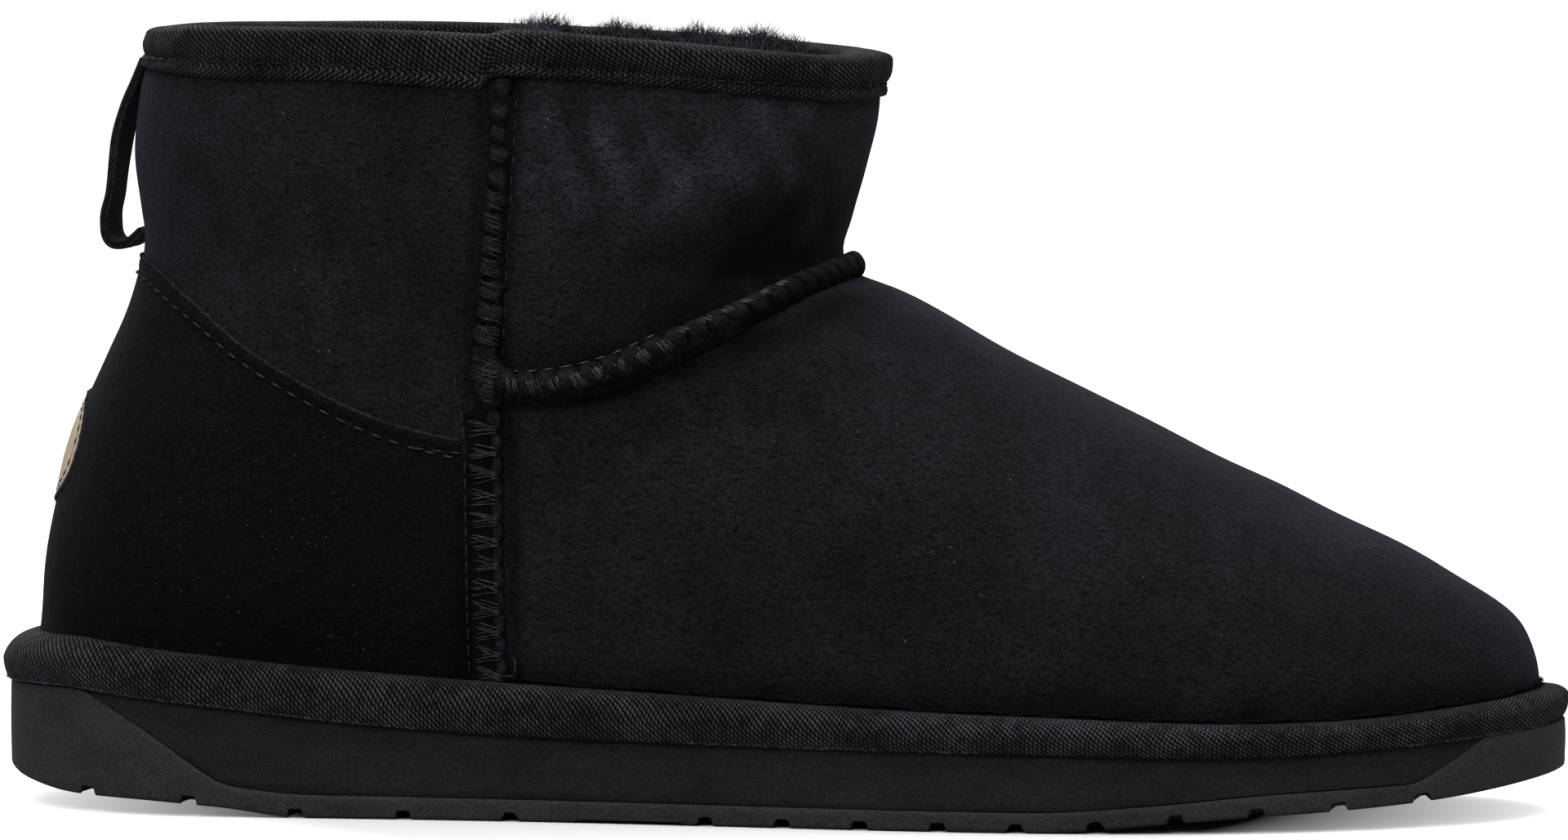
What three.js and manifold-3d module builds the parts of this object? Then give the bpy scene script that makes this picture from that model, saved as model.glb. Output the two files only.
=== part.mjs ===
// A sheepskin ankle boot for the right foot, standing empty on its sole.
// Millimetres, +Z up, +X towards the toe, the outer side of the foot at -Y.
// The origin is on the floor under the middle of the whole boot.
import * as THREE from 'three';
import { mergeVertices } from 'three/addons/utils/BufferGeometryUtils.js';
import Module from 'manifold-3d';

const wasm = await Module();
wasm.setup();

// Driving dimensions
const SOLE_MARGIN = 5.0; // the sole's edge stands out this far past the foot of the upper
const RAND_MARGIN = 6.3; // and the rand's bulge this far
const GAP = 0.3; // between pieces that meet
const FOOT_END = 131; // the upper's foot ends about this far from the middle, at heel and toe
const AROUND = 48; // points round every section, even, so that the two sides pair up
const MERGE_TOLERANCE = 1e-4;
const SLOPE_STEP = 1e-3; // for normals worked out by differences
const CLEAR = 70; // cutters reach this far to each side of the boot
const PAST_HEEL = -142;

// Outsole
const PLATE = 2.5; // rubber under the foam
const RIM_WALL = 3.2; // rubber wall that cups the foam at heel and toe
const EDGE_BEVEL = 0.9;
const EDGE_RISE = 0.8;
const FOAM_LIP = 0.8; // foam left over the rubber where it cups highest
const FOAM_INSET = 0.5; // the foam's side stands back from the rubber's
const GROOVE = { width: 3.2, floor: 2.2, depth: 1.6 };
const HEEL_GROOVES = { first: -118.2, pitch: 18.9, count: 5 };
const FOREFOOT_GROOVES = { first: -8.0, pitch: 13.6, count: 10 };
const ARCH_RECESS = { from: -31, to: -12, depth: 0.6 };

// Insole
const INSOLE_THICK = 4.5;
const INSOLE_TAPER = 1.3; // its top edge leans in, as the wall of the heel does

// Upper
const RAND_RISE = 0.07; // the rise at which the rand ends on the upper
// The rand's bulge: how far out its round is centred, its level as a share of the height, its first angle.
const RAND_BULGE = { centre: 2, level: 0.4, from: -0.6, steps: 6 };
const MEDIAL_AHEAD = 12; // the ball of the foot lies this much further forward on the inner side
const SAG_FADE = 0.5; // above this rise the sections no longer follow the top of the sole
const COLLAR_HUMP = 2.3;
const HUMP_FROM = 0.72;

// Overlays, each as its distances out from the upper's face
const COUNTER = { from: GAP, to: 1.5 };
const LABEL = { from: COUNTER.to + GAP, to: 2.8, centreZ: 61.3, halfWidth: 15.5, halfHeight: 9.2 };
const BINDING = { thick: 1.1, low: 0.95, middle: 0.975 };
const LOOP = { width: 13, thick: 1.5 };

// Turns a table of rows into one record of columns.
function columns(names, rows) {
  return Object.fromEntries(names.map((name, column) => [name, rows.map((row) => row[column])]));
}

// The sole along its length: its underside, the line where rubber meets foam on its side, and its top.
const SOLE_BOTTOM = columns(['x', 'z'], [
  [-138, 6.4], [-132, 4.2], [-123, 2.6], [-110, 2.3], [-97, 1.6], [-82, 0], [51, 0], [75, 1.7], [88, 2.7],
  [102, 3.5], [117, 4.7], [134, 7.6], [139, 9.2],
]);
const SOLE_BOUNDARY = columns(['x', 'z'], [
  [-138, 22], [-123, 20.9], [-108, 13], [-95, 6.4], [-82, 4.5], [-44, 3.4], [51, 3.4], [71, 4.6], [91, 5.9],
  [111, 8], [115, 8.8], [119, 12.1], [124, 15], [139, 18.5],
]);
const SOLE_TOP = columns(['x', 'z'], [
  [-138, 20.6], [-125, 20.9], [-112, 19.6], [-98, 18.2], [-75, 15.8], [-40, 13.8], [0, 13.1], [51, 12.6],
  [82, 13.2], [102, 14.2], [124, 14.9], [131, 16.2], [139, 18.4],
]);

// The upper, a row for each section from its foot on the sole (rise 0) to the collar (rise 1).
// back and front: where the section meets the back line and the instep line.
// heelRun, toeRun: how far the round ends reach in from them; heelHalf, ballHalf: half widths there.
// toePower: fullness of the front end; waist, arch: how much the outer and inner side draw in between;
// lean: how far the front end moves to the inner side; wall: skin and fleece together.
const SECTIONS = columns(
  ['rise', 'backX', 'backZ', 'frontX', 'frontZ', 'heelRun', 'heelHalf', 'toeRun', 'ballHalf',
    'toePower', 'waist', 'arch', 'lean', 'wall'],
  [
    [0.00, -131.8, 20.9, 130.0, 18.2, 36, 31.0, 84, 41.5, 2.5, 2.5, 8.0, 6.5, 8.0],
    [0.07, -130.4, 30.3, 130.8, 24.0, 36, 32.0, 84, 42.0, 2.4, 2.2, 7.0, 6.5, 8.0],
    [0.14, -129.6, 40.5, 127.6, 33.2, 37, 33.0, 82, 41.5, 2.2, 1.8, 5.5, 6.5, 8.0],
    [0.25, -127.6, 52.0, 113.6, 44.0, 39, 33.4, 80, 39.2, 2.0, 1.2, 3.5, 7.0, 8.0],
    [0.37, -123.9, 64.8, 89.5, 55.0, 42, 33.8, 79, 37.2, 2.1, 0.8, 2.0, 6.5, 8.0],
    [0.49, -119.2, 76.3, 62.2, 67.4, 46, 34.4, 77, 36.2, 2.1, 0.4, 1.0, 5.0, 8.0],
    [0.60, -115.2, 86.5, 37.5, 79.6, 51, 35.6, 71, 36.6, 2.0, 0.0, 0.4, 3.0, 8.0],
    [0.67, -113.5, 93.5, 21.0, 88.4, 55, 36.6, 66, 37.2, 2.0, 0.0, 0.0, 1.4, 8.0],
    [0.72, -113.1, 98.5, 11.2, 93.4, 57, 37.4, 62, 37.8, 2.0, 0.0, 0.0, 0.5, 8.0],
    [0.77, -113.6, 103.5, 11.0, 100.5, 58, 38.2, 62, 38.4, 2.0, 0.0, 0.0, 0.2, 8.0],
    [0.85, -114.4, 113.5, 13.5, 110.5, 60, 39.2, 64, 39.2, 2.0, 0.0, 0.0, 0.0, 8.0],
    [0.93, -114.2, 124.0, 16.4, 121.0, 62, 39.8, 65, 39.8, 2.0, 0.0, 0.0, 0.0, 7.0],
    [1.00, -112.8, 132.8, 17.4, 130.1, 62, 40.0, 65, 40.0, 2.0, 0.0, 0.0, 0.0, 4.0],
  ],
);
const RISES = [0, RAND_RISE / 2, RAND_RISE, 0.105, 0.14, 0.195, 0.25, 0.31, 0.37, 0.43, 0.49, 0.545, 0.6, 0.635,
  0.67, 0.695, 0.72, 0.77, 0.83, 0.89, 0.95, 0.975, 1];

// The top edge of the heel counter in side view, and the way that the pull loop takes.
const COUNTER_TOP = columns(['x', 'z'], [
  [-140, 96], [-113, 95], [-101, 88.3], [-91, 81], [-83, 76.2], [-68, 69], [-60, 66.5], [-49.5, 64.4],
]);
const COUNTER_FRONT = -49.5;
const COUNTER_BACK = -128;
const COUNTER_STEPS = 14;
const LOOP_STEPS = 22;
const LOOP_ROUTE = columns(['x', 'z'], [
  [-116.7, 125.0], [-117.2, 120.5], [-118.0, 115], [-118.3, 110], [-119.0, 105.5], [-119.7, 102],
  [-119.6, 99.2], [-118.2, 97.4], [-116.4, 97.3], [-114.9, 98.2],
]);

const clamp01 = (value) => Math.min(1, Math.max(0, value));

function smoothStep(from, to, value) {
  const part = clamp01((value - from) / (to - from));
  return part * part * (3 - 2 * part);
}

// A cubic curve through a table's points that never overshoots them, so flat stretches stay flat.
function along(xs, ys, x) {
  const last = xs.length - 1;
  if (x <= xs[0]) return ys[0];
  if (x >= xs[last]) return ys[last];
  const secant = (i) => (ys[i + 1] - ys[i]) / (xs[i + 1] - xs[i]);
  const slope = (i) => {
    if (i === 0) return secant(0);
    if (i === last) return secant(last - 1);
    const [before, after] = [secant(i - 1), secant(i)];
    return before * after <= 0 ? 0 : (2 * before * after) / (before + after);
  };
  const at = xs.findIndex((value) => value > x) - 1;
  const width = xs[at + 1] - xs[at];
  const p = (x - xs[at]) / width;
  const [p2, p3] = [p * p, p * p * p];
  return (2 * p3 - 3 * p2 + 1) * ys[at] + (p3 - 2 * p2 + p) * width * slope(at)
    + (3 * p2 - 2 * p3) * ys[at + 1] + (p3 - p2) * width * slope(at + 1);
}

const soleBottom = (x) => along(SOLE_BOTTOM.x, SOLE_BOTTOM.z, x);
const soleTop = (x) => along(SOLE_TOP.x, SOLE_TOP.z, x);
const soleBoundary = (x) => Math.min(along(SOLE_BOUNDARY.x, SOLE_BOUNDARY.z, x), soleTop(x) - FOAM_LIP);

// Where the sole's edge lies along the boot, next to a place on the foot of the upper.
const edgeOf = (x) => x * (1 + SOLE_MARGIN / FOOT_END);

const section = (rise) => {
  const row = {};
  for (const name of Object.keys(SECTIONS)) row[name] = along(SECTIONS.rise, SECTIONS[name], rise);
  return row;
};

// A point of the upper's outer face. turn runs from 0 at the back over the outer side (-Y) to half a
// turn at the toe and back over the inner side; rise runs from the sole to the collar. Each end of a
// section is a superellipse, and the width eases from the heel's to the ball's between them.
function face(turn, rise) {
  const row = section(rise);
  const length = row.frontX - row.backX;
  const share = (1 - Math.cos(turn)) / 2;
  const fromBack = share * length;
  const fromFront = length - fromBack;
  const inner = Math.sin(turn) < 0;
  const toeRun = row.toeRun - (inner ? MEDIAL_AHEAD * (1 - smoothStep(0, SAG_FADE, rise)) : 0);
  const heelCap = Math.sqrt(1 - (1 - clamp01(fromBack / row.heelRun)) ** 2);
  const toePart = 1 - clamp01(fromFront / toeRun);
  const toeCap = Math.sqrt(1 - toePart ** row.toePower);
  const between = clamp01((fromBack - row.heelRun) / Math.max(1, length - row.heelRun - toeRun));
  const half = row.heelHalf + (row.ballHalf - row.heelHalf) * smoothStep(0, 1, between);
  const pinch = (inner ? row.arch : row.waist) * 16 * (between * (1 - between)) ** 2;
  const x = row.backX + fromBack;
  const y = (inner ? 1 : -1) * (half - pinch) * heelCap * toeCap + row.lean * toePart ** 2;
  const foot = SECTIONS.backZ[0] + (SECTIONS.frontZ[0] - SECTIONS.backZ[0]) * share;
  const sag = (soleTop(edgeOf(x)) + GAP - foot) * (1 - smoothStep(RAND_RISE, SAG_FADE, rise));
  const hump = COLLAR_HUMP * Math.sin(Math.PI * share ** 0.75) * smoothStep(HUMP_FROM, 1, rise);
  const z = row.backZ + (row.frontZ - row.backZ) * share + sag + hump;
  return new THREE.Vector3(x, y, z);
}

// The upper's face moved out along its normal. At the foot and the rim it moves out level.
function offsetFace(turn, rise, out) {
  const low = Math.max(0, rise - SLOPE_STEP);
  const high = Math.min(1, rise + SLOPE_STEP);
  const round = face(turn + SLOPE_STEP, rise).sub(face(turn - SLOPE_STEP, rise));
  const up = face(turn, high).sub(face(turn, low));
  const normal = round.cross(up);
  if (rise === 0 || rise === 1) normal.z = 0;
  return face(turn, rise).addScaledVector(normal.normalize(), out);
}

const turns = Array.from({ length: AROUND }, (_, i) => (i / AROUND) * 2 * Math.PI);
const faceRing = (rise, out) => turns.map((turn) => offsetFace(turn, rise, out));
const liftRing = (ring, rise) => ring.map((p) => new THREE.Vector3(p.x, p.y, p.z + rise));

// A ring round the sole: the foot of the upper moved out level. Its height is that of the sole's edge
// next to it, so that rubber and foam stay parallel where their joint climbs.
const soleRing = (out, heightAt) => turns.map((turn) => {
  const p = offsetFace(turn, 0, out);
  return new THREE.Vector3(p.x, p.y, heightAt(edgeOf(face(turn, 0).x)));
});

function meshFrom(points, faces) {
  const geometry = new THREE.BufferGeometry();
  geometry.setAttribute('position', new THREE.Float32BufferAttribute(points.flatMap((p) => p.toArray()), 3));
  geometry.setIndex(faces.flat());
  return geometry;
}

// Faces between rings that run counter-clockwise seen from above, each ring above the last.
function bands(count, ringAt) {
  const faces = [];
  for (let r = 0; r + 1 < count; r += 1) {
    for (let i = 0; i < AROUND; i += 1) {
      const j = (i + 1) % AROUND;
      const [a, b, c, d] = [ringAt(r, i), ringAt(r, j), ringAt(r + 1, j), ringAt(r + 1, i)];
      faces.push([a, b, c], [a, c, d]);
    }
  }
  return faces;
}

// A solid from stacked rings, its two ends closed by strips that run from the outer to the inner side.
function stack(rings) {
  const ringAt = (r, i) => r * AROUND + (i % AROUND);
  const faces = bands(rings.length, ringAt);
  const strips = (r, flip) => {
    for (let i = 0; i < AROUND / 2; i += 1) {
      const [a, b, c, d] = [ringAt(r, i), ringAt(r, i + 1), ringAt(r, AROUND - i - 1), ringAt(r, AROUND - i)];
      const tris = [[a, b, c], [a, c, d]].filter((t) => new Set(t).size === 3);
      faces.push(...(flip ? tris.map(([p, q, s]) => [p, s, q]) : tris));
    }
  };
  strips(0, true);
  strips(rings.length - 1, false);
  return meshFrom(rings.flat(), faces);
}

// A closed band: the rings go up its outer side, over the top and down its inner side.
function hoop(rings) {
  const count = rings.length;
  return meshFrom(rings.flat(), bands(count + 1, (r, i) => (r % count) * AROUND + i));
}

// A closed outline in side view, drawn through x and z and made wide along Y.
function sideways(outline, fromY, toY) {
  const shape = new THREE.Shape(outline.map(([x, z]) => new THREE.Vector2(x, z)));
  const geometry = new THREE.ExtrudeGeometry(shape, { depth: toY - fromY, bevelEnabled: false, steps: 1 });
  return geometry.rotateX(Math.PI / 2).translate(0, toY, 0);
}

function solid(geometry) {
  const bare = geometry.clone();
  for (const name of ['normal', 'uv']) bare.deleteAttribute(name);
  const merged = mergeVertices(bare, MERGE_TOLERANCE);
  return new wasm.Manifold(new wasm.Mesh({
    numProp: 3,
    vertProperties: new Float32Array(merged.attributes.position.array),
    triVerts: new Uint32Array(merged.index.array),
  }));
}

function fromSolid(manifold) {
  const mesh = manifold.getMesh();
  const geometry = new THREE.BufferGeometry();
  geometry.setAttribute('position', new THREE.Float32BufferAttribute(mesh.vertProperties, 3));
  geometry.setIndex(new THREE.Uint32BufferAttribute(mesh.triVerts, 1));
  return geometry;
}

// Outsole: a rubber tray whose rim cups the foam, with grooves across its underside.
const plateTop = (x) => soleBottom(x) + PLATE;

function grooveCutter(x) {
  const z = soleBottom(x);
  const low = z - GROOVE.depth;
  const high = z + GROOVE.depth;
  const slope = (GROOVE.width - GROOVE.floor) / 2;
  return sideways([
    [x - GROOVE.width / 2 - slope, low], [x + GROOVE.width / 2 + slope, low],
    [x + GROOVE.floor / 2, high], [x - GROOVE.floor / 2, high],
  ], -CLEAR, CLEAR);
}

function outsole() {
  const tray = solid(stack([
    soleRing(SOLE_MARGIN - EDGE_BEVEL, soleBottom),
    soleRing(SOLE_MARGIN, (x) => soleBottom(x) + EDGE_RISE),
    soleRing(SOLE_MARGIN, soleBoundary),
    soleRing(SOLE_MARGIN - RIM_WALL, soleBoundary),
    soleRing(SOLE_MARGIN - RIM_WALL - GAP, plateTop),
  ]));
  let cut = tray;
  for (const row of [HEEL_GROOVES, FOREFOOT_GROOVES]) {
    for (let i = 0; i < row.count; i += 1) cut = cut.subtract(solid(grooveCutter(row.first + i * row.pitch)));
  }
  const { from, to, depth } = ARCH_RECESS;
  const recess = sideways([[from, -depth], [to, -depth], [to, depth], [from, depth]], -CLEAR, CLEAR);
  return fromSolid(cut.subtract(solid(recess)));
}

// Midsole: the foam wedge that lies in the tray and shows over its rim along both sides.
function midsole() {
  const inside = SOLE_MARGIN - RIM_WALL - 2 * GAP;
  return stack([
    soleRing(inside, (x) => plateTop(x) + GAP),
    soleRing(inside, (x) => soleBoundary(x) + GAP),
    soleRing(SOLE_MARGIN - FOAM_INSET, (x) => soleBoundary(x) + GAP),
    soleRing(SOLE_MARGIN - FOAM_INSET, soleTop),
  ]);
}

// Rand: a padded band of rounded section that lies on the sole against the upper.
function rand() {
  const rings = [];
  for (let k = 0; k <= RAND_BULGE.steps; k += 1) {
    const angle = RAND_BULGE.from + ((Math.PI / 2 - RAND_BULGE.from) * k) / RAND_BULGE.steps;
    const out = RAND_BULGE.centre + (RAND_MARGIN - RAND_BULGE.centre) * Math.cos(angle);
    rings.push(turns.map((turn) => {
      const height = face(turn, RAND_RISE).z - face(turn, 0).z;
      const level = height * RAND_BULGE.level;
      const lift = angle < 0
        ? level * (1 - Math.sin(angle) / Math.sin(RAND_BULGE.from))
        : level + (height - level) * Math.sin(angle);
      const p = offsetFace(turn, 0, out);
      return p.setZ(p.z + lift);
    }));
  }
  rings.push(faceRing(RAND_RISE, GAP), faceRing(RAND_RISE / 2, GAP), faceRing(0, GAP));
  return hoop(rings);
}

// Insole: a fleece footbed inside the foot of the upper.
function insole() {
  const inset = -(SECTIONS.wall[0] + GAP);
  return stack([
    faceRing(0, inset),
    liftRing(faceRing(0, inset - INSOLE_TAPER), INSOLE_THICK),
  ]);
}

// Upper: the shell's outer face up to the rim, and its fleece face back down to the sole.
const innerRing = (rise, deeper = 0) => faceRing(rise, -along(SECTIONS.rise, SECTIONS.wall, rise) - deeper);

function upper() {
  const outside = RISES.map((rise) => faceRing(rise, 0));
  const inside = RISES.map((rise) => innerRing(rise)).reverse();
  return hoop([...outside, ...inside]);
}

// A closed form of the upper, larger all round by `out`, from which overlays are cut.
const form = (out) => solid(stack(RISES.map((rise) => faceRing(rise, out))));

// Heel counter: the part of a thin skin over the upper that lies behind the side seams, below its top edge.
function heelCounter() {
  const { x: xs, z: zs } = COUNTER_TOP;
  const stations = Array.from({ length: COUNTER_STEPS + 1 }, (_, i) =>
    COUNTER_FRONT + ((COUNTER_BACK - COUNTER_FRONT) * i) / COUNTER_STEPS);
  const low = (x) => randTop(x) + 2 * GAP;
  const top = stations.map((x) => [x, along(xs, zs, x)]);
  const bottom = stations.map((x) => [x, low(x)]).reverse();
  const outline = [...top, [PAST_HEEL, top.at(-1)[1]], [PAST_HEEL, low(COUNTER_BACK)], ...bottom];
  const region = solid(sideways(outline.reverse(), -CLEAR, CLEAR));
  return fromSolid(form(COUNTER.to).subtract(form(COUNTER.from)).intersect(region));
}

// The height of the rand's top against the upper at a place along the boot.
function randTop(x) {
  const row = section(RAND_RISE);
  const share = clamp01((x - row.backX) / (row.frontX - row.backX));
  return offsetFace(Math.acos(1 - 2 * share), RAND_RISE, COUNTER.to).z;
}

// Heel label: an oval cut from a thin skin over the counter.
function heelLabel() {
  const { centreZ, halfWidth, halfHeight } = LABEL;
  const oval = new THREE.Shape();
  oval.absellipse(0, 0, halfHeight, halfWidth, 0, 2 * Math.PI);
  const prism = new THREE.ExtrudeGeometry(oval, { depth: CLEAR, bevelEnabled: false, steps: 1 });
  prism.rotateY(-Math.PI / 2).translate(PAST_HEEL + CLEAR, 0, centreZ);
  return fromSolid(form(LABEL.to).subtract(form(LABEL.from)).intersect(solid(prism)));
}

// Collar binding: tape folded over the rim, outside, top and inside.
function collarBinding() {
  const outer = GAP + BINDING.thick;
  return hoop([
    faceRing(BINDING.low, outer),
    faceRing(BINDING.middle, outer),
    faceRing(1, outer),
    liftRing(faceRing(1, GAP), outer),
    liftRing(innerRing(1, GAP), outer),
    innerRing(1, outer),
    innerRing(BINDING.middle, outer),
    innerRing(BINDING.middle, GAP),
    liftRing(innerRing(1, GAP), GAP),
    liftRing(faceRing(1, GAP), GAP),
    faceRing(BINDING.middle, GAP),
    faceRing(BINDING.low, GAP),
  ]);
}

// Pull loop: a flat tape that leaves the binding, bows away from the back and turns in to the counter.
function pullLoop() {
  const route = new THREE.CatmullRomCurve3(LOOP_ROUTE.x.map((x, i) => new THREE.Vector3(x, 0, LOOP_ROUTE.z[i])));
  const left = [];
  const right = [];
  for (let i = 0; i <= LOOP_STEPS; i += 1) {
    const p = route.getPointAt(i / LOOP_STEPS);
    const t = route.getTangentAt(i / LOOP_STEPS);
    left.push([p.x + t.z * LOOP.thick / 2, p.z - t.x * LOOP.thick / 2]);
    right.push([p.x - t.z * LOOP.thick / 2, p.z + t.x * LOOP.thick / 2]);
  }
  return sideways([...left, ...right.reverse()], -LOOP.width / 2, LOOP.width / 2);
}

const FINISHES = {
  suede: { color: 0x1b1d22, roughness: 0.95 },
  counterSuede: { color: 0x141519, roughness: 0.95 },
  twill: { color: 0x22242a, roughness: 0.85 },
  rubber: { color: 0x17181b, roughness: 0.6 },
  foam: { color: 0x1a1b1f, roughness: 0.8 },
  fleece: { color: 0x2b3038, roughness: 1 },
  leather: { color: 0xa18c7a, roughness: 0.7 },
};

const PIECES = [
  ['outsole', outsole, 'rubber'],
  ['midsole', midsole, 'foam'],
  ['rand', rand, 'twill'],
  ['insole', insole, 'fleece'],
  ['upper', upper, 'suede'],
  ['heel_counter', heelCounter, 'counterSuede'],
  ['heel_label', heelLabel, 'leather'],
  ['collar_binding', collarBinding, 'twill'],
  ['pull_loop', pullLoop, 'twill'],
];

const boot = new THREE.Group();
for (const [name, shape, finish] of PIECES) {
  const material = new THREE.MeshStandardMaterial({ ...FINISHES[finish], metalness: 0 });
  const mesh = new THREE.Mesh(shape(), material);
  mesh.name = name;
  boot.add(mesh);
}

export default boot;
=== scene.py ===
"""A sheepskin ankle boot for the right foot, standing on a pale floor.

Metres, +Z up, +X towards the toe, the outer side of the foot at -Y. Every surface of the boot is worked
out from one function, face(turn, rise), and from short tables in the boot's own millimetres.
"""

import math

import bmesh
import bpy
import numpy as np
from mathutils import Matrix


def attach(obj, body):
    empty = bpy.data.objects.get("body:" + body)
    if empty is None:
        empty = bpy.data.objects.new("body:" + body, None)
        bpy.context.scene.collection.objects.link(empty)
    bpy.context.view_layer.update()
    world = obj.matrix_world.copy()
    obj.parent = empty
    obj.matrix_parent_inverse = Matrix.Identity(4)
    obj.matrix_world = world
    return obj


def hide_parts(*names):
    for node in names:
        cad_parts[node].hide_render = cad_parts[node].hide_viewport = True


bl_info = {
    "name": "Sheepskin Ankle Boot",
    "version": (1, 0, 0),
    "blender": (4, 5, 0),
    "location": "View3D > Sidebar > Boot",
    "description": "Builds a sheepskin ankle boot with stitched seams, fleece and a studio to show it in",
    "category": "Add Mesh",
}

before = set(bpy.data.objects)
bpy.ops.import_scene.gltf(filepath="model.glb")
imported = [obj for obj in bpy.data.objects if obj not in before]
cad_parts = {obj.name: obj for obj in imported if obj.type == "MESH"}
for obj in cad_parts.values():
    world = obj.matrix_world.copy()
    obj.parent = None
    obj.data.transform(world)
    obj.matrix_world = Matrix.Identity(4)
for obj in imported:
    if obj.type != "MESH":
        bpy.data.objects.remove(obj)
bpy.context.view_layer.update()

MM = 0.001
TURN = 2 * math.pi
HALF = math.pi

# ---------------------------------------------------------------------------------------------------
# Tables, in millimetres. They are close to the solids' own but not the same: the toe is up to 1.6 mm longer
# low down, the back of the rim is 2 mm further forward, and the sole's lines differ a little.


def columns(names, rows):
    """One array for each named column of a table of rows."""
    return {name: np.array([row[i] for row in rows], float) for i, name in enumerate(names)}


SOLE_BOTTOM = columns(("x", "z"), [
    (-138, 7.0), (-132, 4.8), (-123, 3.2), (-110, 2.6), (-97, 1.6), (-82, 0), (51, 0), (75, 1.7), (88, 2.7),
    (102, 3.5), (117, 4.7), (134, 7.6), (139, 9.2),
])
SOLE_BOUNDARY = columns(("x", "z"), [
    (-138, 24), (-125, 24), (-120.8, 21.3), (-109.1, 14.0), (-99.2, 7.0), (-97.4, 6.0), (-94, 5.2),
    (-82, 4.1), (-60, 3.9), (-44, 3.8), (51, 3.5), (71, 4.7), (91, 6.5), (108, 7.4), (113.9, 7.7),
    (115.6, 8.3), (119.2, 10.6), (125.8, 16.0), (130, 20), (139, 21),
])
SOLE_TOP = columns(("x", "z"), [
    (-138, 20.6), (-125, 20.9), (-112, 19.6), (-98, 18.2), (-75, 15.8), (-40, 13.8), (0, 13.1), (51, 12.6),
    (82, 12.0), (102, 12.7), (124, 14.4), (131, 15.1), (139, 16.4),
])
SECTIONS = columns(
    ("rise", "back_x", "back_z", "front_x", "front_z", "heel_run", "heel_half", "toe_run", "ball_half",
     "toe_power", "waist", "arch", "lean", "wall"), [
        (0.00, -131.8, 20.9, 130.0, 18.2, 36, 31.0, 84, 41.5, 2.5, 2.5, 8.0, 6.5, 8.0),
        (0.07, -130.4, 30.3, 131.8, 24.0, 36, 32.0, 84, 42.0, 2.4, 2.2, 7.0, 6.5, 8.0),
        (0.14, -129.6, 40.5, 129.2, 33.2, 37, 33.0, 82, 41.5, 2.2, 1.8, 5.5, 6.5, 8.0),
        (0.25, -127.6, 52.0, 115.0, 44.0, 39, 33.4, 80, 39.2, 2.0, 1.2, 3.5, 7.0, 8.0),
        (0.37, -123.9, 64.8, 90.2, 55.0, 42, 33.8, 79, 37.2, 2.1, 0.8, 2.0, 6.5, 8.0),
        (0.49, -119.2, 76.3, 62.2, 67.4, 46, 34.4, 77, 36.2, 2.1, 0.4, 1.0, 5.0, 8.0),
        (0.60, -115.2, 86.5, 37.5, 79.6, 51, 35.6, 71, 36.6, 2.0, 0.0, 0.4, 3.0, 8.0),
        (0.67, -113.5, 93.5, 21.0, 88.4, 55, 36.6, 66, 37.2, 2.0, 0.0, 0.0, 1.4, 8.0),
        (0.72, -113.1, 98.5, 11.2, 93.4, 57, 37.4, 62, 37.8, 2.0, 0.0, 0.0, 0.5, 8.0),
        (0.77, -113.9, 103.5, 11.6, 100.5, 58, 38.2, 62, 38.4, 2.0, 0.0, 0.0, 0.2, 8.0),
        (0.85, -115.2, 113.5, 14.2, 110.5, 60, 39.2, 64, 39.2, 2.0, 0.0, 0.0, 0.0, 8.0),
        (0.93, -114.0, 124.0, 16.6, 121.0, 62, 39.8, 65, 39.8, 2.0, 0.0, 0.0, 0.0, 7.0),
        (1.00, -110.8, 132.8, 16.9, 129.5, 62, 40.0, 65, 40.0, 2.0, 0.0, 0.0, 0.0, 4.0),
    ])
COUNTER_TOP = columns(("x", "z"), [
    (-140, 96), (-113, 95), (-101, 88.3), (-91, 81), (-83, 76.2), (-68, 69), (-60, 66.5), (-49.5, 64.4),
])
LOOP_ROUTE = columns(("x", "z"), [
    (-112.4, 129.5), (-113.8, 126.0), (-115.9, 121.5), (-117.5, 116), (-118.3, 110.5), (-118.9, 105.5),
    (-119.7, 102), (-119.6, 98.9), (-118.2, 96.9), (-116.4, 96.9), (-114.4, 98.2), (-113.2, 99.4),
])
# The vamp seam on each side, from the side seam to beside the throat.
VAMP_SEAM = columns(("x", "z"), [
    (-45.4, 75.4), (-40, 74.4), (-31.6, 75.4), (-24.7, 77.3), (-17.8, 80.0), (-11.1, 83.0), (-4.4, 85.9),
    (2.1, 89.0), (6.5, 91.2),
])
THROAT_RISE = 0.722
# The middle of the side seams: its place along the boot at each height.
SIDE_SEAM = columns(("z", "x"), [
    (20, -44.4), (43, -44.8), (66, -45.2), (76, -46.5), (90, -45.9), (106, -44.7), (130, -43.0),
])

# How far the collar tape's rim and lower edge are lifted along the outer side.
COLLAR_SWAY = columns(("x", "rim", "hem"), [
    (-112, 0, 0), (-95, 0.4, -0.5), (-75, 0.5, -0.3), (-60, 0.4, -0.6), (-47, 0.3, -1.1), (-44.5, 0.9, 1.1),
    (-41, 1.4, 1.5), (-28, 0.9, 1.2), (-18, 0.6, 0.9), (-6, 0.1, 0.2), (4, -0.4, -0.3), (12, -0.7, -0.8),
    (20, -0.9, -1.3),
])
# The collar tape's profile: rise over its lower edge and how far it stands out, up the outside; then rise,
# how far out and how far up, down the inside and back under it.
COLLAR_OUTSIDE = [
    (0.006, 1.1), (0.011, 1.05), (0.0145, 0.86), (0.0165, 0.7), (0.0185, 0.84), (0.022, 1.2), (0.028, 1.6),
    (0.035, 1.82), (0.043, 1.9),
]
COLLAR_INSIDE = [
    (0.99, -5.9, 0.2), (0.978, -5.7, 0), (0.975, -5.2, 0), (0.975, -4.6, 0), (0.992, -4.4, 0),
    (0.999, -2.0, 0.35), (0.992, 0.1, 0),
]
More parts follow.
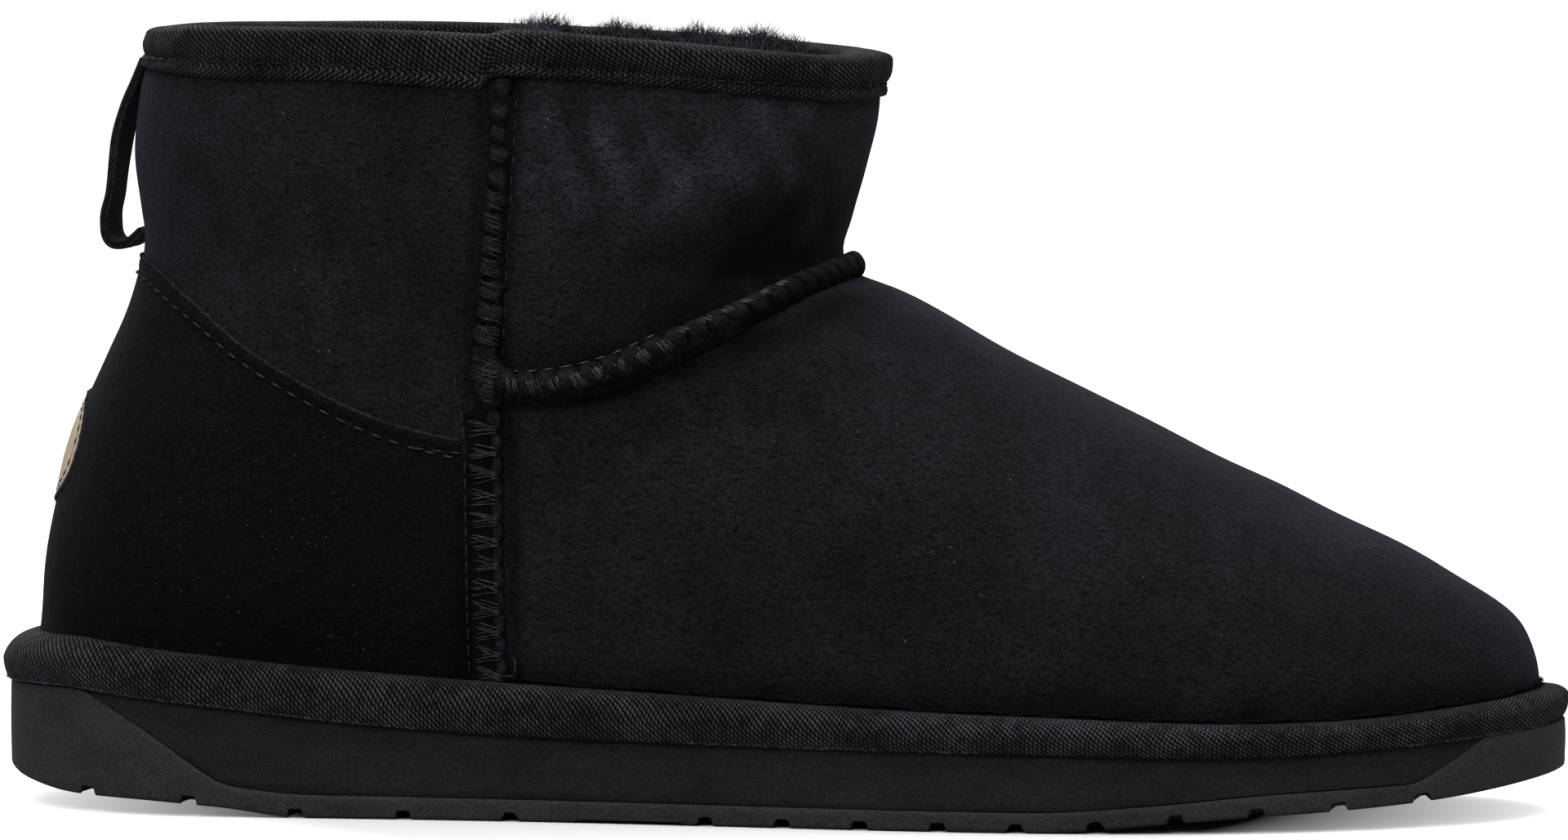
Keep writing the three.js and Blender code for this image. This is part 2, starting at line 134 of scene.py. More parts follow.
# Where the rand's weave turns, as a share of the tape's width: from the middle of the band at the toe to
# above it at the heel.
RAND_FOLD = columns(("x", "share"), [(-140, 1.15), (-60, 0.98), (10, 0.8), (70, 0.62), (135, 0.45)])
# Wool over the rim: from and to along the boot, how many curls, how tall against the lining's longest, and
# 1 on the inner side.
RIM_WOOL = [
    (-43, -35, 520, 1.58, 0), (-51, -43, 300, 1.45, 1), (-39.5, -26, 620, 1.28, 1), (-30, 10, 1650, 1.2, 1),
    (-20, -14, 180, 1.42, 1), (-11, -1, 320, 1.5, 1),
]

SOLE_MARGIN = 5.0  # the sole's edge, out from the foot of the upper
RAND_MARGIN = 6.3  # the rand's widest line, out from the foot of the upper
FOOT_END = 131.0  # about how far the foot of the upper reaches each way from the middle
GAP = 0.3  # between two pieces that meet
RISE_SPAN = 118.0  # about the height that one unit of rise stands for on the flanks
SAG_FROM = 0.07  # the upper follows the sole below this rise, and less and less up to SAG_FADE
SAG_FADE = 0.5
# The rise at which the rand's tape meets the upper.
HEM = columns(("x", "rise"), [
    (-140, 0.06), (-120, 0.062), (-92, 0.066), (-70, 0.071), (-45, 0.073), (-15, 0.07), (10, 0.065),
    (40, 0.06), (75, 0.059), (105, 0.055), (125, 0.059), (140, 0.061),
])
UPPER_LIFT = 0.9  # the upper and rand sit this much over the tables' heights
MEDIAL_AHEAD = 12.0  # how much shorter the toe's rounding is on the inner side, at the foot
COLLAR_HUMP = 1.9  # how much the collar's edge rises between back and front
BACK_LIFT = 0.7
HUMP_FROM = 0.72
PLATE = 2.5  # the outsole's thickness under the foam
RIM_WALL = 3.2  # the wall of the outsole's rim
EDGE_BEVEL = 0.9
EDGE_RISE = 0.8
FOAM_LIP = 0.16
FOAM_INSET = 0.5
WALL = 8.0  # skin and fleece together
INSOLE_THICK = 4.5
SKIN = 1.6
RIM = 0.985  # the rise at which skin and fleece end under the collar tape
GROOVE_HALF = (1.15, 1.45)  # half widths at the groove's floor and mouth
GROOVE_DEPTH = 1.6
GROOVES = [-118.2 + 18.9 * i for i in range(5)] + [-8.0 + 13.6 * i for i in range(10)]
ARCH_RECESS = (-31.0, -12.0, 0.6)  # from, to and depth
COUNTER_FRONT = -49.5
COUNTER_FOOT = 0.052  # the rise of the counter's lower edge
COUNTER_TALL = 75.0  # the grid's nominal height, from the top edge to the lower one
COUNTER_LONG = 98.0  # from the middle of the back to a front edge
LABEL = {"x": -124.6, "z": 61.3, "half_width": 14.4, "half_height": 9.2, "power": 2.3}
BINDING_LOW = 0.95  # the rise of the collar tape's lower edge
LOOP_HALF_WIDTH = 6.5
LOOP_HALF_THICK = 0.82
WELD = 2e-7  # points closer than this, in metres, are one


# ---------------------------------------------------------------------------------------------------
# Curves and the boot's form


def along(xs, ys, x):
    """A cubic curve through a table's points that never overshoots: each inner point's slope is the harmonic
    mean of the slopes on both sides of it, or level where they differ in sign."""
    step = np.diff(xs)
    secant = np.diff(ys) / step
    slope = np.concatenate([secant[:1], np.zeros(len(xs) - 2), secant[-1:]])
    same = secant[:-1] * secant[1:] > 0
    total = np.where(same, secant[:-1] + secant[1:], 1.0)
    slope[1:-1] = np.where(same, 2 * secant[:-1] * secant[1:] / total, 0.0)
    x = np.asarray(x, float)
    at = np.clip(np.searchsorted(xs, x, side="right") - 1, 0, len(xs) - 2)
    p = np.clip((x - xs[at]) / step[at], 0, 1)
    return ((2 * p**3 - 3 * p**2 + 1) * ys[at] + (p**3 - 2 * p**2 + p) * step[at] * slope[at]
            + (3 * p**2 - 2 * p**3) * ys[at + 1] + (p**3 - p**2) * step[at] * slope[at + 1])


def ease(low, high, value):
    """0 below low, 1 above high, and 3t^2 - 2t^3 between."""
    t = np.clip((np.asarray(value, float) - low) / (high - low), 0, 1)
    return t * t * (3 - 2 * t)


def bell(distance, width):
    """A soft hump: exp(-(distance / width)^2)."""
    return np.exp(-(np.asarray(distance) / width) ** 2)


def soften(values, reach):
    """A column averaged over its neighbours with bell weights, its ends held by mirroring it through them."""
    offsets = np.arange(-3 * reach, 3 * reach + 1)
    weights = bell(offsets, reach * math.sqrt(2))
    before = 2 * values[0] - values[3 * reach:0:-1]
    after = 2 * values[-1] - values[-2:-3 * reach - 2:-1]
    return np.convolve(np.concatenate([before, values, after]), weights / weights.sum(), "valid")


RISES = np.linspace(0, 1, 1001)
SECTION = {name: soften(along(SECTIONS["rise"], SECTIONS[name], RISES), 9)
           for name in SECTIONS if name != "rise"}


def sole_bottom(x):
    """The underside's height, before its grooves."""
    return along(SOLE_BOTTOM["x"], SOLE_BOTTOM["z"], x)


def sole_top(x):
    """The foam's top, on which upper and rand lie."""
    return along(SOLE_TOP["x"], SOLE_TOP["z"], x) + UPPER_LIFT


def sole_boundary(x):
    """The line on the sole's side between rubber and foam."""
    return np.minimum(along(SOLE_BOUNDARY["x"], SOLE_BOUNDARY["z"], x), sole_top(x) - FOAM_LIP)


def edge_of(x):
    """Where the sole's edge lies along the boot, next to a place on the foot of the upper."""
    return x * (1 + SOLE_MARGIN / FOOT_END)


def height(share, x, rise, row):
    """The height of a section at a share of its length: a straight line from back to front, sagging to the
    top of the sole low down, and humped at the collar."""
    foot = SECTION["back_z"][0] + (SECTION["front_z"][0] - SECTION["back_z"][0]) * share
    sag = (sole_top(edge_of(x)) + GAP - foot) * (1 - ease(SAG_FROM, SAG_FADE, rise))
    hump = COLLAR_HUMP * np.sin(HALF * share ** 0.75) * ease(HUMP_FROM, 1, rise)
    hump += BACK_LIFT * bell(share, 0.11) * ease(0.85, 1, rise)
    lift = UPPER_LIFT * ease(SAG_FROM, SAG_FADE, rise)
    return row["back_z"] + (row["front_z"] - row["back_z"]) * share + sag + hump + lift


def rows_at(rise):
    """Every column of the sections at a rise."""
    return {name: np.interp(rise, RISES, values) for name, values in SECTION.items()}


def face(turn, rise):
    """A point of the upper's outer face, in millimetres. turn runs from 0 at the back over the outer side to
    half a turn at the toe and back over the inner side; rise runs from the sole to the collar. Each end of a
    section is a superellipse, and its width eases from the heel's to the ball's between them."""
    turn, rise = np.broadcast_arrays(np.asarray(turn, float), np.asarray(rise, float))
    row = rows_at(rise)
    length = row["front_x"] - row["back_x"]
    share = (1 - np.cos(turn)) / 2
    from_back = share * length
    from_front = length - from_back
    inner = np.sin(turn) < 0
    toe_run = row["toe_run"] - np.where(inner, MEDIAL_AHEAD * (1 - ease(0, SAG_FADE, rise)), 0)
    heel_cap = np.sqrt(1 - (1 - np.clip(from_back / row["heel_run"], 0, 1)) ** 2)
    toe_part = 1 - np.clip(from_front / toe_run, 0, 1)
    toe_cap = np.sqrt(np.maximum(0, 1 - toe_part ** row["toe_power"]))
    room = np.maximum(1, length - row["heel_run"] - toe_run)
    between = np.clip((from_back - row["heel_run"]) / room, 0, 1)
    half = row["heel_half"] + (row["ball_half"] - row["heel_half"]) * ease(0, 1, between)
    pinch = np.where(inner, row["arch"], row["waist"]) * 16 * (between * (1 - between)) ** 2
    x = row["back_x"] + from_back
    y = np.where(inner, 1, -1) * (half - pinch) * heel_cap * toe_cap + row["lean"] * toe_part ** 2
    return np.stack([x, y, height(share, x, rise, row)], -1)


def unit(v):
    """Vectors brought to length 1."""
    return v / np.maximum(np.linalg.norm(v, axis=-1, keepdims=True), 1e-12)


def normal(turn, rise):
    """The face's outward normal, from differences along turn and rise, level at the foot and the rim."""
    d = 2e-3
    turn, rise = np.broadcast_arrays(np.asarray(turn, float), np.asarray(rise, float))
    around = face(turn + d, rise) - face(turn - d, rise)
    up = face(turn, np.minimum(rise + d, 1)) - face(turn, np.maximum(rise - d, 0))
    n = np.cross(around, up)
    level = 1 - ease(0, 0.02, rise) + ease(0.98, 1, rise)
    n[..., 2] *= 1 - level
    return unit(n)


def place(x, z, inner=False):
    """The turn and rise of the face's point at x and z in side view, on the outer or the inner side, found by
    halving the range of rise 40 times."""
    x, z = np.broadcast_arrays(np.asarray(x, float), np.asarray(z, float))
    low, high = np.zeros(x.shape), np.ones(x.shape)
    for _ in range(40):
        rise = (low + high) / 2
        row = rows_at(rise)
        share = np.clip((x - row["back_x"]) / (row["front_x"] - row["back_x"]), 0, 1)
        above = height(share, x, rise, row) > z + UPPER_LIFT
        high = np.where(above, rise, high)
        low = np.where(above, low, rise)
    turn = np.arccos(1 - 2 * share)
    return (TURN - turn if inner else turn), rise


# ---------------------------------------------------------------------------------------------------
# The soft relief of the skin: seams' valleys, puffs beside them and hand-placed creases


def vamp_seam_path():
    """The vamp seam as rise by turn, from the outer side seam to the throat. Its mirror is the inner one."""
    turn, rise = place(VAMP_SEAM["x"], VAMP_SEAM["z"])
    return np.append(turn, HALF), np.append(rise, THROAT_RISE)


SEAM_TURN, SEAM_RISE = vamp_seam_path()

# Creases: middle x and z, angle of the crease from level in degrees, half length, half width and
# height, all in millimetres; side is -1 outer, 1 inner, 0 both.
CREASES = [
    {"x": 30, "z": 62, "angle": -30, "long": 34, "wide": 9, "high": 0.5, "side": 0},
    {"x": -14, "z": 64, "angle": 24, "long": 26, "wide": 6, "high": -0.5, "side": 0},
    {"x": 4, "z": 50, "angle": -14, "long": 30, "wide": 7, "high": 0.35, "side": -1},
    {"x": 62, "z": 38, "angle": -22, "long": 30, "wide": 7, "high": -0.4, "side": -1},
    {"x": -80, "z": 104, "angle": 62, "long": 20, "wide": 8, "high": -0.5, "side": -1},
    {"x": -66, "z": 86, "angle": -40, "long": 16, "wide": 6, "high": 0.45, "side": -1},
    {"x": -96, "z": 58, "angle": 78, "long": 24, "wide": 9, "high": -0.5, "side": 0},
    {"x": -18, "z": 112, "angle": 70, "long": 18, "wide": 9, "high": 0.5, "side": 0},
    {"x": -4, "z": 100, "angle": 20, "long": 16, "wide": 5, "high": -0.6, "side": 0},
    {"x": 7, "z": 25, "angle": 86, "long": 5, "wide": 1.2, "high": -0.5, "side": -1},
    {"x": 10, "z": 24, "angle": 84, "long": 6, "wide": 1.6, "high": 0.3, "side": -1},
    {"x": -70, "z": 40, "angle": -10, "long": 22, "wide": 8, "high": 0.4, "side": 0},
]


def ripple(points, wavelength, seed, waves=14):
    """Smooth noise about 0, mostly within 1: a sum of sine waves with random directions and phases."""
    rng = np.random.default_rng(seed)
    ways = unit(rng.normal(size=(waves, 3))) * (TURN / wavelength) * rng.uniform(0.7, 1.4, (waves, 1))
    phase = rng.uniform(0, TURN, waves)
    total = np.zeros(points.shape[:-1])
    for way, start in zip(ways, phase):
        total += np.sin(points @ way + start)
    return total * math.sqrt(2 / waves) * 0.7


def hem_rise(turn):
    """The rise at which the rand's tape meets the upper."""
    return along(HEM["x"], HEM["rise"], face(turn, np.full_like(turn, 0.06))[:, 0])


def mirror_turn(turn):
    """The turn folded onto the outer side, from 0 at the back to half a turn at the toe."""
    turn = np.mod(turn, TURN)
    return np.minimum(turn, TURN - turn)


def relief(turn, rise):
    """How far the skin stands out of its plain form, in millimetres."""
    turn, rise = np.broadcast_arrays(np.asarray(turn, float), np.asarray(rise, float))
    p = face(turn, rise)
    x, z = p[..., 0], p[..., 2] - UPPER_LIFT
    folded = mirror_turn(turn)
    side = np.where(np.sin(turn) < 0, 1, -1)
    total = np.zeros(x.shape)
    from_side_seam = x - along(SIDE_SEAM["z"], SIDE_SEAM["x"], z)
    flank = ease(0.25, 0.6, np.abs(np.sin(turn)))
    total -= flank * 0.7 * bell(from_side_seam, 3.2)
    total += flank * 0.55 * (bell(from_side_seam - 9, 7) + bell(from_side_seam + 9, 7))
    seam_rise = along(SEAM_TURN, SEAM_RISE, folded)
    above = (rise - seam_rise) * RISE_SPAN
    ahead = ease(SEAM_TURN[0] - 0.03, SEAM_TURN[0] + 0.1, folded)
    total -= ahead * (0.5 + 0.8 * ease(1.6, 2.4, folded)) * bell(above - 3.0, 3.2)
    total += ahead * 0.7 * bell(above + 7, 6)
    for crease in CREASES:
        angle = math.radians(crease["angle"])
        dx, dz = x - crease["x"], z - crease["z"]
        lengthwise = dx * math.cos(angle) + dz * math.sin(angle)
        across = dz * math.cos(angle) - dx * math.sin(angle)
        hump = crease["high"] * bell(lengthwise, crease["long"]) * bell(across, crease["wide"])
        total += hump if crease["side"] == 0 else np.where(side == crease["side"], hump, 0)
    total += 0.16 * ripple(p, 26, 3) * ease(0.05, 0.12, rise)
    return total * ease(0.0, 0.09, rise) * (1 - ease(0.93, 0.99, rise))


def skin(turn, rise, out=0.0):
    """A point out millimetres over the skin with its relief, in millimetres."""
    lift = np.asarray(relief(turn, rise) + out)
    return face(turn, rise) + normal(turn, rise) * lift[..., None]


def inner_face(turn, rise, deeper=0.0):
    """A point of the fleece's face inside the boot."""
    wall = np.asarray(rows_at(rise)["wall"] + deeper)
    return face(turn, rise) - normal(turn, rise) * wall[..., None]


# ---------------------------------------------------------------------------------------------------
# Mesh helpers


def lattice(rows, cols, wrap_rows=False, wrap_cols=False, flip=False):
    """The quads of a grid of points held row by row, closed on itself where asked."""
    r = np.arange(rows if wrap_rows else rows - 1)[:, None]
    c = np.arange(cols if wrap_cols else cols - 1)[None, :]
    up, on = (r + 1) % rows, (c + 1) % cols
    quads = np.stack([r * cols + c, r * cols + on, up * cols + on, up * cols + c], -1).reshape(-1, 4)
    return quads[:, ::-1] if flip else quads


def new_piece(name, points, faces, material, uv=None, weld=False):
    """A mesh object at the origin from points in millimetres and a list of arrays of faces. uv holds one
    array of corner coordinates for each array of faces."""
    mesh = bpy.data.meshes.new(name)
    points = np.ascontiguousarray(points, np.float32).reshape(-1, 3) * MM
    sizes = np.concatenate([np.full(len(f), f.shape[1]) for f in faces])
    corners = np.concatenate([np.asarray(f).ravel() for f in faces]).astype(np.int32)
    mesh.vertices.add(len(points))
    mesh.vertices.foreach_set("co", points.ravel())
    mesh.loops.add(len(corners))
    mesh.loops.foreach_set("vertex_index", corners)
    mesh.polygons.add(len(sizes))
    mesh.polygons.foreach_set("loop_start", (np.cumsum(sizes) - sizes).astype(np.int32))
    mesh.polygons.foreach_set("use_smooth", np.ones(len(sizes), bool))
    mesh.update(calc_edges=True)
    if uv is not None:
        layer = mesh.uv_layers.new(name="cloth")
        corner_uv = np.concatenate([u.reshape(-1, 2) for u in uv]).astype(np.float32)
        layer.data.foreach_set("uv", corner_uv.ravel())
    if weld:
        work = bmesh.new()
        work.from_mesh(mesh)
        bmesh.ops.remove_doubles(work, verts=work.verts, dist=WELD)
        work.to_mesh(mesh)
        work.free()
    mesh.validate()
    mesh.materials.append(material)
    piece = bpy.data.objects.new(name, mesh)
    bpy.context.scene.collection.objects.link(piece)
    return piece


def settle(piece, slot, *nodes):
    """Every piece rides on the boot's one body and stands for its solids, which are hidden; slot is not used.
    """
    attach(piece, "root")
    if nodes:
        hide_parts(*nodes)


def tidy_normals(piece):
    """Doubles merged, then every face turned outwards."""
    work = bmesh.new()
    work.from_mesh(piece.data)
    bmesh.ops.remove_doubles(work, verts=work.verts, dist=WELD)
    bmesh.ops.recalc_face_normals(work, faces=work.faces)
    work.to_mesh(piece.data)
    work.free()


def add_piece(name, shape, finish, slot, *nodes, tidied=True):
    """A whole piece from its points and faces, with its finish; slot is not used."""
    piece = new_piece(name, *shape, finish_of(finish))
    if tidied:
        tidy_normals(piece)
    settle(piece, slot, *nodes)


def cloth_uv(rows, cols, wrap_rows, wrap_cols, u, v):
    """Corner coordinates for a lattice, in metres of cloth. u and v hold one more row or column where it
    wraps."""
    quads = lattice(rows + wrap_rows, cols + wrap_cols)
    flat = np.stack(np.broadcast_arrays(u, v), -1).reshape(-1, 2) * MM
    return flat[quads]


def around_length(ring):
    """The distance run round a closed ring of points, one more value than points."""
    step = np.linalg.norm(np.diff(np.vstack([ring, ring[:1]]), axis=0), axis=1)
    return np.concatenate([[0], np.cumsum(step)])


def capped(rings, cross=1):
    """Points and faces of a solid from stacked rings. Its ends are closed by strips from side to side, cross
    quads wide, each point a straight mix of the two ring points that face each other."""
    rings = np.asarray(rings)
    count, around = rings.shape[:2]
    points = [rings.reshape(-1, 3)]
    faces = [lattice(count, around, wrap_cols=True)]
    base = count * around
    for ring, flip in ((rings[0], True), (rings[-1], False)):
        i = np.arange(around // 2 + 1)
        near, far = ring[i], ring[(around - i) % around]
        t = np.linspace(0, 1, cross + 1)[None, :, None]
        grid = near[:, None] * (1 - t) + far[:, None] * t
        points.append(grid.reshape(-1, 3))
        # The strip's rows run from heel to toe and its columns from the outer to the inner side.
        faces.append(base + lattice(len(i), cross + 1, flip=not flip))
        base += grid.shape[0] * grid.shape[1]
    return np.concatenate(points), faces


def tubes(lines, radius, sides=5):
    """Points and faces of many closed strands at once. lines is strands x points x 3, radius a number or an
    array of strands x points. Each strand is a tube whose two ends close in a point."""
    lines = np.asarray(lines, float)
    n, k = lines.shape[:2]
    radius = np.broadcast_to(radius, (n, k))
    way = unit(np.gradient(lines, axis=1))
    guide = np.where(np.abs(way[..., 2:3]) > 0.8, [[[1.0, 0, 0]]], [[[0, 0, 1.0]]])
    across = unit(np.cross(guide, way))
    over = np.cross(way, across)
    angle = np.arange(sides) / sides * TURN
    ring = across[:, 1:-1, None] * np.cos(angle)[:, None] + over[:, 1:-1, None] * np.sin(angle)[:, None]
    body = lines[:, 1:-1, None] + ring * radius[:, 1:-1, None, None]
    per = (k - 2) * sides + 2
    points = np.concatenate([body.reshape(n, -1, 3), lines[:, :1], lines[:, -1:]], 1)
    quads = lattice(k - 2, sides, wrap_cols=True)
    s = np.arange(sides)
    start = np.stack([np.full(sides, per - 2), (s + 1) % sides, s], -1)
    end = np.stack([np.full(sides, per - 1), (k - 3) * sides + s, (k - 3) * sides + (s + 1) % sides], -1)
    shift = (np.arange(n) * per)[:, None, None]
    return points.reshape(-1, 3), [(quads + shift).reshape(-1, 4), (start + shift).reshape(-1, 3),
                                   (end + shift).reshape(-1, 3)]


def fans(count, sides):
    """The triangles that close a tube of count rings on two points which follow the rings' own."""
    s = np.arange(sides)
    end = (count - 1) * sides
    first = np.stack([np.full(sides, count * sides), s, (s + 1) % sides], -1)
    last = np.stack([np.full(sides, count * sides + 1), end + (s + 1) % sides, end + s], -1)
    return first, last


def join(parts):
    """Several (points, faces) as one."""
    points, faces, base = [], [], 0
    for part_points, part_faces in parts:
        points.append(part_points)
        faces += [f + base for f in part_faces]
        base += len(part_points)
    return np.concatenate(points), faces


def loop_run(points):
    """The distance run along an open line of points, from 0."""
    return np.concatenate([[0], np.cumsum(np.linalg.norm(np.diff(points, axis=0), axis=1))])


def evenly(turn, rise, step, out=0.0):
    """Turn and rise along a path on the skin, spaced evenly about step millimetres apart."""
    run = loop_run(skin(turn, rise, out))
    count = max(2, int(round(run[-1] / step)) + 1)
    at = np.linspace(0, run[-1], count)
    return np.interp(at, run, turn), np.interp(at, run, rise)


def path_frame(turn, rise):
    """Points on the skin along a path, with its direction, the skin's normal and the way to its left."""
    p = skin(turn, rise)
    n = normal(turn, rise)
    way = unit(np.gradient(p, axis=0))
    left = unit(np.cross(n, way))
    return p, way, n, left


def stitch_row(turn, rise, pitch, fill=0.72, radius=0.22, high=0.3, sink=0.35, out=0.0, sides=6):
    """A row of lockstitches along a path on the skin: each is a short strand that rises out of its hole, runs
    along the path and dives back, with height high * sin(pi s)^0.5 - sink at its ends."""
    turn, rise = evenly(turn, rise, pitch / 12)
    p = skin(turn, rise, out)
    n = normal(turn, rise)
    run = loop_run(p)
    starts = np.arange(0.2, run[-1] - pitch, pitch)
    s = np.linspace(0, 1, 8)
    at = starts[:, None] + s[None] * pitch * fill
    arch = -sink + (high + sink) * np.sin(HALF * s) ** 0.45
    lines = np.stack([np.interp(at, run, p[:, i]) + np.interp(at, run, n[:, i]) * arch for i in range(3)], -1)
    thick = radius * (0.55 + 0.45 * np.sin(HALF * s))
    return tubes(lines, np.broadcast_to(thick, at.shape), sides)


class Ridge:
    """A rounded ridge that lies along a path on the skin. Its profile is an ellipse: at an angle a it stands
    half_width * cos(a) to the left of the path and lift + half_height * sin(a) over the skin. Each of the
    three is a number, or a function of the share of the path from 0 to 1."""

    def __init__(self, turn, rise, half_width, half_height, lift, step=0.35):
        turn, rise = evenly(turn, rise, step)
        self.p, self.way, self.n, self.left = path_frame(turn, rise)
        self.run = loop_run(self.p)
        self.share = self.run / self.run[-1]
        self.half_width = self.spread(half_width)
        self.half_height = self.spread(half_height)
        self.lift = self.spread(lift)

    def spread(self, size):
        """A size at each of the path's points."""
        return (size(self.share) if callable(size) else size) + 0 * self.share

    def at(self, run, angle, scale=1.0, out=0.0):
        """Points on the ridge, or outside it where scale is above 1 or out above 0 millimetres."""
        run, angle = np.broadcast_arrays(run, angle)

        def pick(values):
            return np.interp(run, self.run, values)

        across = pick(self.half_width) * scale * np.cos(angle) + out * np.cos(angle)
        over = pick(self.lift) + pick(self.half_height) * scale * np.sin(angle) + out * np.sin(angle)
        return np.stack([pick(self.p[:, i]) + pick(self.left[:, i]) * across + pick(self.n[:, i]) * over
                         for i in range(3)], -1)

    def solid(self, sides, swell):
        """The closed ridge: swell(run, angle) is its radius as a share of the plain ellipse, and both ends
        shrink to a point."""
        angle = np.arange(sides) / sides * TURN
        run = self.run[1:-1, None]
        rings = self.at(run, angle[None], swell(run, angle[None]))
        count = len(run)
        ends = self.at(self.run[[0, -1]], np.zeros(2), 0.0)
        points = np.concatenate([rings.reshape(-1, 3), ends])
        return points, [lattice(count, sides, wrap_cols=True)[:, ::-1], *fans(count, sides)]


def lumps(run, pitch, start=0.0):
    """Puffs between tight wraps: |sin(pi (run - start) / pitch)|^0.6, 0 under each wrap and 1 between two."""
    return np.abs(np.sin(HALF * (run - start) / pitch)) ** 0.6


def wraps(ridge, runs, count, spread, angles, skew, radius, rng, out=0.12):
    """Bundles of whip threads over a ridge. Each bundle has count threads within spread millimetres; each
    thread runs over the ridge between two angles while it moves skew millimetres along it."""
    runs = np.asarray(runs, float)
    offset = (np.linspace(-0.5, 0.5, count)[None] + rng.uniform(-0.08, 0.08, (len(runs), count))) * spread
    at = (runs[:, None] + offset).ravel()
    low = angles[0] + rng.uniform(-0.14, 0.14, at.size)
    high = angles[1] + rng.uniform(-0.14, 0.14, at.size)
    t = np.linspace(0, 1, 8)
    angle = low[:, None] + (high - low)[:, None] * t
    run = at[:, None] + (skew * rng.uniform(0.75, 1.25, at.size))[:, None] * (t - 0.5)
    hug = out + rng.uniform(0, 0.1, at.size)[:, None] - 0.5 * (np.abs(2 * t - 1) ** 6)
    lines = ridge.at(run, angle, 1.0, hug)
    thick = radius * rng.uniform(0.75, 1.2, at.size)[:, None] * (1 - 0.35 * np.abs(2 * t - 1) ** 2)
    return tubes(lines, thick, 5)


def fluff(ridge, count, angles, length, radius, rng, scale=0.96, runs=None):
    """Loose fibres that stand off a ridge: each starts under its surface, leans along it by a random amount
    and curls over."""
    low, high = (ridge.run[2], ridge.run[-3]) if runs is None else runs
    run = rng.uniform(low, high, count)
    angle = rng.uniform(angles[0], angles[1], count)
    t = np.linspace(0, 1, 4)
    reach = length * rng.uniform(0.4, 1.0, count)[:, None]
    lean = rng.normal(0, 0.7, count)[:, None]
    curl = rng.normal(0, 0.5, count)[:, None]
    lines = ridge.at(run[:, None] + lean * reach * t, angle[:, None] + curl * t ** 2, scale,
                     -0.2 + (reach + 0.2) * t)
    return tubes(lines, radius * (1 - 0.6 * t), 3)


# ---------------------------------------------------------------------------------------------------
# Materials


class Paint:
    """A material written one node at a time. Numbers that are the same all over go on the shader's
    sockets."""

    def __init__(self, name, **uniform):
        self.material = bpy.data.materials.new(name)
        self.material.use_nodes = True
        self.tree = self.material.node_tree
        self.shader = self.tree.nodes["Principled BSDF"]
        for socket, value in uniform.items():
            self.shader.inputs[socket.replace("_", " ")].default_value = value
        self.where = self.node("ShaderNodeTexCoord").outputs["Object"]

    def node(self, kind, inputs=None, **settings):
        """A new node with its settings and inputs filled in."""
        node = self.tree.nodes.new(kind)
        for key, value in settings.items():
            setattr(node, key, value)
        for key, value in (inputs or {}).items():
            self.set(node.inputs[key], value)
        return node

    def set(self, socket, value):
        """A socket linked to another or given a plain value."""
        if isinstance(value, bpy.types.NodeSocket):
            self.tree.links.new(value, socket)
        else:
            socket.default_value = value

    def math(self, operation, *values, clamp=False):
        """One sum on up to three values."""
        return self.node("ShaderNodeMath", dict(enumerate(values)), operation=operation,
                         use_clamp=clamp).outputs[0]

    def mix(self, share, a, b):
        """A colour between a and b."""
        node = self.node("ShaderNodeMix", {0: share}, data_type="RGBA")
        self.set(node.inputs[6], a)
        self.set(node.inputs[7], b)
        return node.outputs[2]

    def span(self, value, low, high, to_low=0.0, to_high=1.0):
        """value carried from one range to another, and held at its ends."""
        return self.node("ShaderNodeMapRange", {0: value, 1: low, 2: high, 3: to_low, 4: to_high}).outputs[0]

    def noise(self, scale, detail=3.0, rough=0.5, where=None):
        """Soft noise about 0.5."""
        return self.node("ShaderNodeTexNoise", {
            "Vector": where or self.where, "Scale": scale, "Detail": detail, "Roughness": rough,
        }).outputs[0]

    def stretched(self, scale):
        """Object coordinates scaled along each axis."""
        return self.node("ShaderNodeMapping", {"Vector": self.where, "Scale": scale}).outputs[0]

    def cells(self, scale, where=None):
        """The distance to the nearest of many scattered points."""
        return self.node("ShaderNodeTexVoronoi", {"Vector": where or self.where, "Scale": scale}).outputs[0]

    def cloth(self):
        """The two coordinates of the piece's own map, in metres of cloth."""
        uv = self.node("ShaderNodeUVMap", uv_map="cloth").outputs[0]
        parts = self.node("ShaderNodeSeparateXYZ", {0: uv}).outputs
        return parts[0], parts[1]

    def bump(self, height, distance, strength=1.0, under=None):
        """A normal tilted by a height, over another bump where one is given."""
        inputs = {"Height": height, "Distance": distance, "Strength": strength}
        if under is not None:
            inputs["Normal"] = under
        return self.node("ShaderNodeBump", inputs).outputs[0]

    def done(self, colour, roughness, bump):
        """The finished material."""
        self.set(self.shader.inputs["Base Color"], colour)
        self.set(self.shader.inputs["Roughness"], roughness)
        self.set(self.shader.inputs["Normal"], bump)
        return self.material


def shade(colour, factor):
    """A colour made lighter or darker, with its alpha kept."""
    return (colour[0] * factor, colour[1] * factor, colour[2] * factor, 1.0)


